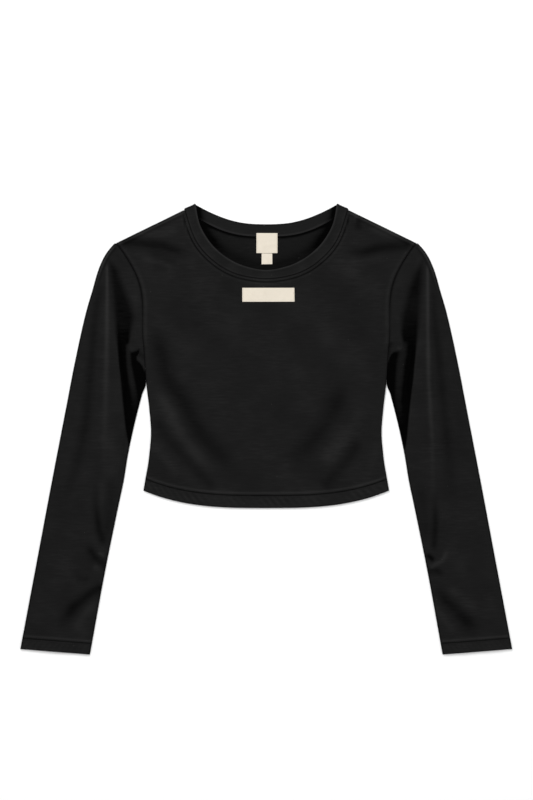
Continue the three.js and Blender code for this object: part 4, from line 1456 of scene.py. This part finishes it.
    @staticmethod
    def close(rings: list[tuple[np.ndarray, ...]], painted_shadings: np.ndarray, opening: int) -> Skin:
        """Join the outside and the inside into one skin.

        Args:
            rings: The grids of x, y and z, outside first.
            painted_shadings: The tone of each point on either side.
            opening: How many rows belong to the mouth.

        Returns:
            The closed skin, before it is set on its side of the body.
        """
        rows, columns = rings[0][0].shape
        outside = np.arange(rows * columns).reshape(rows, columns)
        inside = outside + rows * columns
        mouth = np.arange(rows) < opening
        outside[~mouth, -1] = outside[~mouth, 0]
        inside[~mouth, -1] = inside[~mouth, 0]
        inside[mouth, 0] = outside[mouth, 0]
        inside[mouth, -1] = outside[mouth, -1]
        cap_top = np.stack([outside[0], inside[0]])
        cap_cuff = np.stack([outside[-1], inside[-1]])
        above, below = opening - 1, opening
        gussets = [
            [outside[above, 0], outside[below, 0], inside[below, 0], inside[below, 0]],
            [outside[above, -1], inside[below, 0], outside[below, 0], outside[below, 0]],
        ]
        faces = np.vstack([grid_faces(outside), grid_faces(inside)[:, ::-1], grid_faces(cap_top)[:, ::-1],
                           grid_faces(cap_cuff), gussets])
        points = np.vstack([np.stack(ring, axis=-1).reshape(-1, 3) for ring in rings])
        return Skin(points, faces, np.concatenate([painted_shadings.ravel(), painted_shadings.ravel() * SLEEVE_INSIDE_PAINTED_SHADING]))


@dataclass
class Neckband:
    """The folded strip round the neck, which turns over at both shoulders.

    The back lines are painted lines along the strip behind the neck, each a share of its width and a painted
    shading, a highlight above zero and a shade below. The rumples in front get a painted highlight where they
    rise.
    """

    front_steps: int = 90
    turn_steps: int = 12
    under_steps: int = 12
    corner_strength: float = 1.3
    back_painted_lines: tuple[tuple[float, float], ...] = ((0.93, 0.8), (0.05, -0.4))
    line_width: float = 0.05
    rumple_painted_shading: float = 0.4
    rumple: Rumple = Rumple(seed=59, height=0.08, longest=46, shortest=12, waves=8)

    def half(self) -> tuple[np.ndarray, np.ndarray, np.ndarray]:
        """Follow the right half from the front's middle to the back's middle.

        Returns:
            The free edge's points, the seam edge's points and the angle turned over, for each station.
        """
        stations = np.linspace(0, 1, self.front_steps + 1)
        parts = []
        for table in (NECK_FRONT, NECK_BACK):
            free = np.stack(EdgeCurve(table[:, :2]).at(stations), axis=-1)
            seam = np.stack(EdgeCurve(table[:, 2:]).at(stations), axis=-1)
            parts.append((free, seam))
        turn = np.linspace(0, math.pi, self.turn_steps + 1)
        tip_free = np.repeat(np.array([BAND_END]), len(turn), axis=0)
        tip_seam = np.repeat(np.array([NECK_POINT]), len(turn), axis=0)
        free = np.vstack([parts[0][0][:-1], tip_free, parts[1][0][-2::-1]])
        seam = np.vstack([parts[0][1][:-1], tip_seam, parts[1][1][-2::-1]])
        angle = np.concatenate([np.zeros(self.front_steps), turn, np.full(self.front_steps, math.pi)])
        return free, seam, angle

    def section(self) -> tuple[np.ndarray, np.ndarray, np.ndarray]:
        """Give the strip's section, from the free edge over the outside to the seam and back.

        Returns:
            The share across, the share of the thickness and the tone of each point.
        """
        places = np.linspace(0.97, 0.03, self.under_steps)
        # The strip's underside carries a little painted shade
        under = np.column_stack([places, np.zeros(self.under_steps), np.full(self.under_steps, -0.2)])
        across, swell, tone = np.vstack([BAND_SECTION, under]).T
        return across, swell, tone

    @staticmethod
    def corner_shade(x: np.ndarray, y: np.ndarray) -> np.ndarray:
        """Give the shade that the front strip casts on the back strip near the shoulders."""
        free = EdgeCurve(NECK_FRONT[:, :2]).at(np.linspace(0.45, 1, 12))
        shade = Crease(list(zip(*free)), 0, (6, 8), 1, ends=(0.3, 0))
        return shade.section(x, y)

    def piece(self, material: bpy.types.Material) -> bpy.types.Object:
        """Make the whole ring.

        Args:
            material: Its finish.

        Returns:
            The neckband.
        """
        free, seam, angle = self.half()
        across, swell, tone = self.section()
        outwards = np.array([BAND_END[1] - NECK_POINT[1], NECK_POINT[0] - BAND_END[0]])
        outwards = outwards / np.linalg.norm(outwards)
        radius = GAP / 2 + BAND * swell
        flat = mix(free[:, None, :], seam[:, None, :], across[None, :, None])
        side = np.sin(angle)[:, None] * radius
        x = flat[:, :, 0] + outwards[0] * side
        y = flat[:, :, 1] + outwards[1] * side
        z = np.maximum(GAP / 2 + BAND + np.cos(angle)[:, None] * radius, 0)

        in_front = (np.cos(angle) > 0.99)[:, None]
        rumple = self.rumple.at(x, y) * np.clip(swell, 0, 1) * in_front
        z = z + rumple
        # Behind the neck: painted highlight and shade lines and the front strip's painted shadow; in front:
        # the section's painted shading and the rumples' painted highlight
        lines = sum(strength * hump(across - share, self.line_width) for share, strength in self.back_painted_lines)
        in_back = (angle > 3)[:, None] & (swell == 0)
        painted_shadings = np.where(in_back, lines - self.corner_strength * self.corner_shade(x, y),
                         tone + rumple * self.rumple_painted_shading)

        mirror = slice(-2, 0, -1)
        x, y, z, painted_shadings = (np.vstack([grid, sign * grid[mirror]])
                          for grid, sign in ((x, -1), (y, 1), (z, 1), (painted_shadings, 1)))
        numbers = np.arange(x.size).reshape(x.shape)
        numbers = np.hstack([numbers, numbers[:, :1]])
        numbers = np.vstack([numbers, numbers[:1]])
        points = np.stack([x, y, z], axis=-1).reshape(-1, 3)
        return Skin(points, grid_faces(numbers), painted_shadings.ravel()).piece("neck_rib", material)


@dataclass
class Patch:
    """A woven label, sewn down flat."""

    name: str
    x: float
    y: float
    width: float
    length: float
    seed: int
    border: float = 1.5
    cell: float = 0.75
    rim: float = 0.35
    rim_fade: float = 0.7
    puff: float = 0.12
    unevenness: float = 0.12
    bar_width: float = 0.55
    # The label's painted shading: a little lighter all over, lighter on the border bar and the rim, darker
    # where the rumples rise
    base_tone: float = 0.048
    bar_tone: float = 0.21
    rumple_painted_shading: float = 0.54
    rim_tone: float = 0.27

    def heights(self, x: np.ndarray, y: np.ndarray, under: np.ndarray) -> tuple[np.ndarray, np.ndarray]:
        """Shape the label's upper side on what it lies on.

        Args:
            x: Places across.
            y: Places along.
            under: The height of the cloth below.

        Returns:
            The height and the tone of each place.
        """
        inset = np.minimum(self.width / 2 - np.abs(x - self.x), self.length / 2 - np.abs(y - self.y))
        bar = hump(inset - self.border, self.bar_width)
        rumple = Rumple(seed=self.seed, height=0.09, longest=24, shortest=7, waves=7).at(x, y)
        puff = self.puff * (ease(0, 3, inset) - bar)
        height = under + GAP + LABEL + puff + rumple * ease(0, 2, inset)
        # Painted shading: lighter along the border bar and the rim, darker where the rumples rise
        tone = self.base_tone + self.bar_tone * bar - self.rumple_painted_shading * rumple
        return height, tone + self.rim_tone * (1 - ease(0, self.rim_fade, inset))

    def piece(self, material: bpy.types.Material, under: Surface) -> bpy.types.Object:
        """Make the label.

        Args:
            material: Its finish.
            under: Gives the height of the cloth below.

        Returns:
            The label.
        """
        u = edged(np.linspace(-0.5, 0.5, int(self.width / self.cell)), self.width, self.rim)
        w = edged(np.linspace(-0.5, 0.5, int(self.length / self.cell)), self.length, self.rim)
        across, along = np.meshgrid(u, w)
        narrow, lean, short, tilt = np.random.default_rng(self.seed).normal(0, self.unevenness, 4)
        x = self.x + across * (self.width + narrow * along * 2) + lean * along
        y = self.y + along * (self.length + short * across * 2) + tilt * across
        base = under(x, y)
        height, tone = self.heights(x, y, base)
        return sheet_skin(x, y, height, base + GAP, tone, tone).piece(self.name, material)

    def outline(self, inset: float, under: Surface, count: int = 16) -> list[np.ndarray]:
        """Give the lines of stitches that hold the label's two short sides.

        Args:
            inset: How far the stitches stand in from the edge.
            under: Gives the height of the cloth below.
            count: How many points each line gets.

        Returns:
            One run of points for each side.
        """
        runs = []
        for side in (-1, 1):
            y = np.linspace(-1, 1, count) * (self.length / 2 - inset) + self.y
            x = np.full(count, self.x + side * (self.width / 2 - inset))
            runs.append(np.stack([x, y, under(x, y) + GAP + LABEL + STITCH_RISE], axis=-1))
        return runs


@dataclass
class StitchRun:
    """A line of stitches along a path, laid by geometry nodes."""

    name: str
    paths: list[np.ndarray]
    pitch: float
    length: float
    thickness: float
    seed: int

    @staticmethod
    def build_tree() -> bpy.types.NodeTree:
        """Build the tree that sets one stitch at each step of a path.

        Returns:
            The node group, with named inputs for its sizes.
        """
        tree = bpy.data.node_groups.new("stitch_run", "GeometryNodeTree")
        bench = NodeBench(tree)
        bench.socket("Path", "Geometry")
        bench.socket("Pitch", "Float", value=0.003)
        bench.socket("Length", "Float", value=0.0022)
        bench.socket("Thickness", "Float", value=0.0004)
        bench.socket("Seed", "Int", value=1)
        bench.socket("Thread", "Material")
        bench.socket("Stitches", "Geometry", out=True)
        entry = bench.add("NodeGroupInput").outputs
        curve = bench.add("GeometryNodeMeshToCurve", {"Mesh": entry["Path"]}).outputs["Curve"]
        steps = bench.add("GeometryNodeResampleCurve", {"Curve": curve, "Length": entry["Pitch"]},
                          mode="LENGTH")
        thread = bench.add("GeometryNodeMeshUVSphere", {"Segments": 6, "Rings": 5, "Radius": 0.5})
        tangent = bench.add("GeometryNodeInputTangent").outputs[0]
        turn = bench.add("FunctionNodeAlignRotationToVector", {"Vector": tangent}, axis="Z")
        vary = bench.add("FunctionNodeRandomValue", {2: 0.86, 3: 1.1, "Seed": entry["Seed"]},
                         data_type="FLOAT")
        long = bench.math("MULTIPLY", entry["Length"], vary.outputs[1])
        size = bench.add("ShaderNodeCombineXYZ", {0: entry["Thickness"], 1: entry["Thickness"], 2: long})
        laid = bench.add("GeometryNodeInstanceOnPoints", {
            "Points": steps.outputs["Curve"], "Instance": thread.outputs["Mesh"],
            "Rotation": turn.outputs[0], "Scale": size.outputs[0]})
        real = bench.add("GeometryNodeRealizeInstances", {0: laid.outputs[0]})
        smooth = bench.add("GeometryNodeSetShadeSmooth", {0: real.outputs[0]})
        dressed = bench.add("GeometryNodeSetMaterial", {0: smooth.outputs[0], "Material": entry["Thread"]})
        bench.add("NodeGroupOutput", {0: dressed.outputs[0]})
        return tree

    def piece(self, tree: bpy.types.NodeTree, material: bpy.types.Material) -> bpy.types.Object:
        """Lay the stitches and make them plain mesh.

        Args:
            tree: The group from build_tree.
            material: The thread's finish.

        Returns:
            The stitches as one piece.
        """
        points, edges = [], []
        for path in self.paths:
            start = len(points)
            points.extend((path * MM).tolist())
            edges.extend((start + step, start + step + 1) for step in range(len(path) - 1))
        guide = bpy.data.meshes.new(self.name + "_guide")
        guide.from_pydata(points, edges, [])
        carrier = add_object(self.name + "_guide", guide)
        modifier = carrier.modifiers.new("stitches", "NODES")
        modifier.node_group = tree
        values = {"Pitch": self.pitch * MM, "Length": self.length * MM, "Thickness": self.thickness * MM,
                  "Seed": self.seed, "Thread": material}
        for item in tree.interface.items_tree:
            if item.in_out == "INPUT" and item.name in values:
                modifier[item.identifier] = values[item.name]
        graph = bpy.context.evaluated_depsgraph_get()
        mesh = bpy.data.meshes.new_from_object(carrier.evaluated_get(graph))
        mesh.name = self.name
        carrier.modifiers.remove(modifier)
        bpy.data.objects.remove(carrier)
        bpy.data.meshes.remove(guide)
        return add_object(self.name, mesh)


@dataclass
class Studio:
    """The floor, the light and the camera."""

    width_px: int = 533
    height_px: int = 800
    mm_per_px: float = 1.4
    centre: tuple[float, float] = (0.35, 41.3)
    distance: float = 3.0
    cloth_height: float = 0.003
    floor_size: float = 12.0
    floor_steps: int = 48
    floor_drop: float = 0.0002
    floor_cloud: float = 3.0
    floor_shades: tuple[float, float] = (0.93, 0.95)
    level_radius: float = 2.0
    dish: float = 0.12
    world: float = 0.5
    key: float = 44.0
    fill: float = 18.0

    def floor(self) -> bpy.types.Object:
        """Make the plain pale floor, a shallow dish with a level middle."""
        place = np.linspace(-self.floor_size / 2, self.floor_size / 2, self.floor_steps + 1)
        x, y = np.meshgrid(place, place)
        beyond = np.maximum(np.hypot(x, y) - self.level_radius, 0)
        points = np.stack([x, y, self.dish * beyond ** 2 - self.floor_drop], axis=-1).reshape(-1, 3)
        numbers = np.arange(x.size).reshape(x.shape)
        mesh = bpy.data.meshes.new("floor")
        mesh.from_pydata(points.tolist(), [], grid_faces(numbers).tolist())
        mesh.polygons.foreach_set("use_smooth", np.ones(len(mesh.polygons), bool))
        finish = Finish("pale_floor")
        cloud = finish.bench.noise(finish.place, self.floor_cloud)
        colour = finish.bench.blend(cloud, *((shade, shade, shade, 1) for shade in self.floor_shades))
        finish.bench.join({"Base Color": colour}, finish.shader)
        finish.set(roughness=0.9, specular=0.1)
        mesh.materials.append(finish.material)
        return add_object("floor", mesh)

    def lamp(self, name: str, power: float, size: float, place: tuple[float, float, float],
             turn: tuple[float, float, float]) -> None:
        """Hang one soft square lamp.

        Args:
            name: Its name.
            power: Its power in watts.
            size: The side of its face in metres.
            place: Where it hangs, in metres.
            turn: How it is turned, in degrees.
        """
        light = bpy.data.lights.new(name, "AREA")
        light.energy = power
        light.size = size
        lamp = add_object(name, light)
        lamp.location = place
        lamp.rotation_euler = Euler([math.radians(angle) for angle in turn])

    def light(self) -> None:
        """Set the even surround, the main lamp above the neck end and a weaker one across from it."""
        scene = bpy.context.scene
        scene.world = bpy.data.worlds.new("studio")
        scene.world.use_nodes = True
        background = scene.world.node_tree.nodes["Background"]
        background.inputs["Color"].default_value = (1, 1, 1, 1)
        background.inputs["Strength"].default_value = self.world
        self.lamp("key", self.key, 1.5, (-0.75, 1.3, 2.0), (-33, -20, 0))
        self.lamp("fill", self.fill, 2.0, (1.1, -0.5, 2.3), (12, 25, 0))
        scene.view_settings.view_transform = "Standard"
        scene.view_settings.look = "None"

    def camera(self) -> None:
        """Look straight down, with the photograph's frame on the cloth."""
        camera = bpy.data.cameras.new("camera")
        camera.sensor_fit = "AUTO"
        camera.sensor_width = 36.0
        camera.lens = camera.sensor_width * self.distance / (self.height_px * self.mm_per_px * MM)
        camera.clip_end = 50.0
        holder = add_object("camera", camera)
        holder.location = (self.centre[0] * MM, self.centre[1] * MM, self.distance + self.cloth_height)
        bpy.context.scene.camera = holder


@dataclass
class CropTop:
    """The whole garment, dressed and tied to the frame."""

    groups: ShaderGroups = field(default_factory=ShaderGroups)
    body: Body = field(default_factory=Body)
    neckband: Neckband = field(default_factory=Neckband)
    jersey: KnitFinish = KnitFinish("jersey_knit")
    rib: KnitFinish = KnitFinish("neckband_knit", body=0.0094, wale=0.0013, course=0.0011, streak=0.08)
    ribbon: WovenFinish = WovenFinish("woven_ribbon")
    black_thread: ThreadFinish = ThreadFinish("black_thread", (0.012, 0.012, 0.012), (0.005, 0.005, 0.005))
    pale_thread: ThreadFinish = ThreadFinish("pale_thread", (0.66, 0.58, 0.47), (0.5, 0.43, 0.34))
    neck_line: float = 0.62
    label_inset: float = 1.2
    hem_reach: float = 160.0
    cuff_inset: float = 0.02
    seam_step: tuple[float, float] = (2.0, 11.0)

    def tie(self, piece: bpy.types.Object, node: str | None = None) -> bpy.types.Object:
        """Make a piece ride with the garment and report it.

        Args:
            piece: The piece.
            node: The node that it stands for, if any.

        Returns:
            The same piece.
        """
        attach(piece, ROOT)
        if node:
            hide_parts(node)
        triangles = sum(len(face.vertices) - 2 for face in piece.data.polygons)
        LOG.info("%s: %d triangles", piece.name, triangles)
        return piece

    def front_surface(self, x: np.ndarray, y: np.ndarray) -> np.ndarray:
        """Give the front's height as it lies."""
        return self.body.front_height(x, y)[0]

    def inside_surface(self, x: np.ndarray, y: np.ndarray) -> np.ndarray:
        """Give the height of the back panel or the neckband, as seen through the neck."""
        base = self.body.back_base(x, y)[0] + CLOTH
        below_seam = NECK_BACK[0, 3] - y
        return np.maximum(mix(BAND, base, ease(*self.seam_step, below_seam)), base)

    def hem_run(self, above: float, under: bool) -> np.ndarray:
        """Follow the hem at a distance above it, on the upper side or the lower one."""
        x = np.linspace(-self.hem_reach, self.hem_reach, 240)
        y = self.body.hem(x) + above
        height = np.full(len(x), UNDER_STITCH) if under else self.front_surface(x, y) + STITCH_RISE
        return np.stack([x, y, height], axis=-1)

    def cuff_run(self, sleeve: Sleeve, above: float, under: bool) -> np.ndarray:
        """Follow a cuff at a distance above its edge, on the upper side or the lower one."""
        y_inner = np.array([sleeve.cuff_inner + above])
        edge_in, edge_out = sleeve.ends(y_inner, 0)
        v = np.linspace(self.cuff_inset, 1 - self.cuff_inset, 70)
        x, y, z, _ = sleeve.upper(y_inner, edge_in + EDGE, edge_out - EDGE, v)
        height = np.full(len(v), UNDER_STITCH) if under else z[0] + STITCH_RISE
        return np.stack([x[0] * sleeve.side.value, y[0], height], axis=-1)

    def neck_run(self) -> np.ndarray:
        """Follow the line that holds down the neck seam's allowance."""
        distance = self.body.allowance * self.neck_line
        line = np.array(self.body.beside_neck(self.body.front_neck, distance, count=60))[2:-2]
        height = self.front_surface(line[:, 0], line[:, 1]) + STITCH_RISE
        return np.column_stack([line, height])

    def stitches(self, sleeves: list[Sleeve], labels: list[tuple[Patch, Surface]]) -> None:
        """Lay every line of stitches.

        Args:
            sleeves: Both sleeves.
            labels: The labels that are sewn down at both ends, and what each lies on.
        """
        black, pale = (finish.build(self.groups) for finish in (self.black_thread, self.pale_thread))
        hem = [self.hem_run(above, under) for above in self.body.turn_up.rows() for under in (False, True)]
        cuffs = [self.cuff_run(sleeve, above, under) for sleeve in sleeves
                 for above in sleeve.turn_up.rows() for under in (False, True)]
        ends = [run for label, under in labels for run in label.outline(self.label_inset, under)]
        tree = StitchRun.build_tree()
        dark_runs = [
            StitchRun("hem_stitches", hem, pitch=3.0, length=2.5, thickness=0.5, seed=3),
            StitchRun("cuff_stitches", cuffs, pitch=3.0, length=2.5, thickness=0.5, seed=4),
            StitchRun("neck_stitches", [self.neck_run()], pitch=2.8, length=2.3, thickness=0.45, seed=5),
        ]
        for run in dark_runs:
            self.tie(run.piece(tree, black))
        label_run = StitchRun("label_stitches", ends, pitch=1.6, length=1.3, thickness=0.3, seed=6)
        self.tie(label_run.piece(tree, pale))

    def build(self) -> None:
        jersey, rib, ribbon = (finish.build(self.groups) for finish in (self.jersey, self.rib, self.ribbon))

        front = self.tie(self.body.front(jersey), "front_panel")
        back = self.tie(self.body.back(jersey), "back_panel")
        sleeves = [Sleeve(side, self.body) for side in Side]
        arms = [self.tie(sleeve.piece(jersey), f"{sleeve.name}_sleeve") for sleeve in sleeves]
        band = self.tie(self.neckband.piece(rib), "neckband")

        chest = Patch("chest_patch", x=3, y=188.5, width=73, length=19.5, seed=5)
        inner = Patch("neck_patch", x=1, y=261, width=29.5, length=28, seed=7)
        tab = Patch("tab_patch", x=1, y=239, width=15, length=15.2, seed=9, border=1.1)
        chest_piece = self.tie(chest.piece(ribbon, self.front_surface), "chest_label")
        inner_piece = self.tie(inner.piece(ribbon, self.inside_surface), "neck_label")
        tab_piece = self.tie(tab.piece(ribbon, self.inside_surface), "size_tab")

        self.stitches(sleeves, [(chest, self.front_surface), (inner, self.inside_surface)])


def main() -> None:
    """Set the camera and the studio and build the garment."""
    logging.basicConfig(level=logging.INFO, format="%(name)s %(message)s")
    studio = Studio()
    studio.camera()
    studio.floor()
    studio.light()
    CropTop().build()
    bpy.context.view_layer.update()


if __name__ == "__main__":
    main()
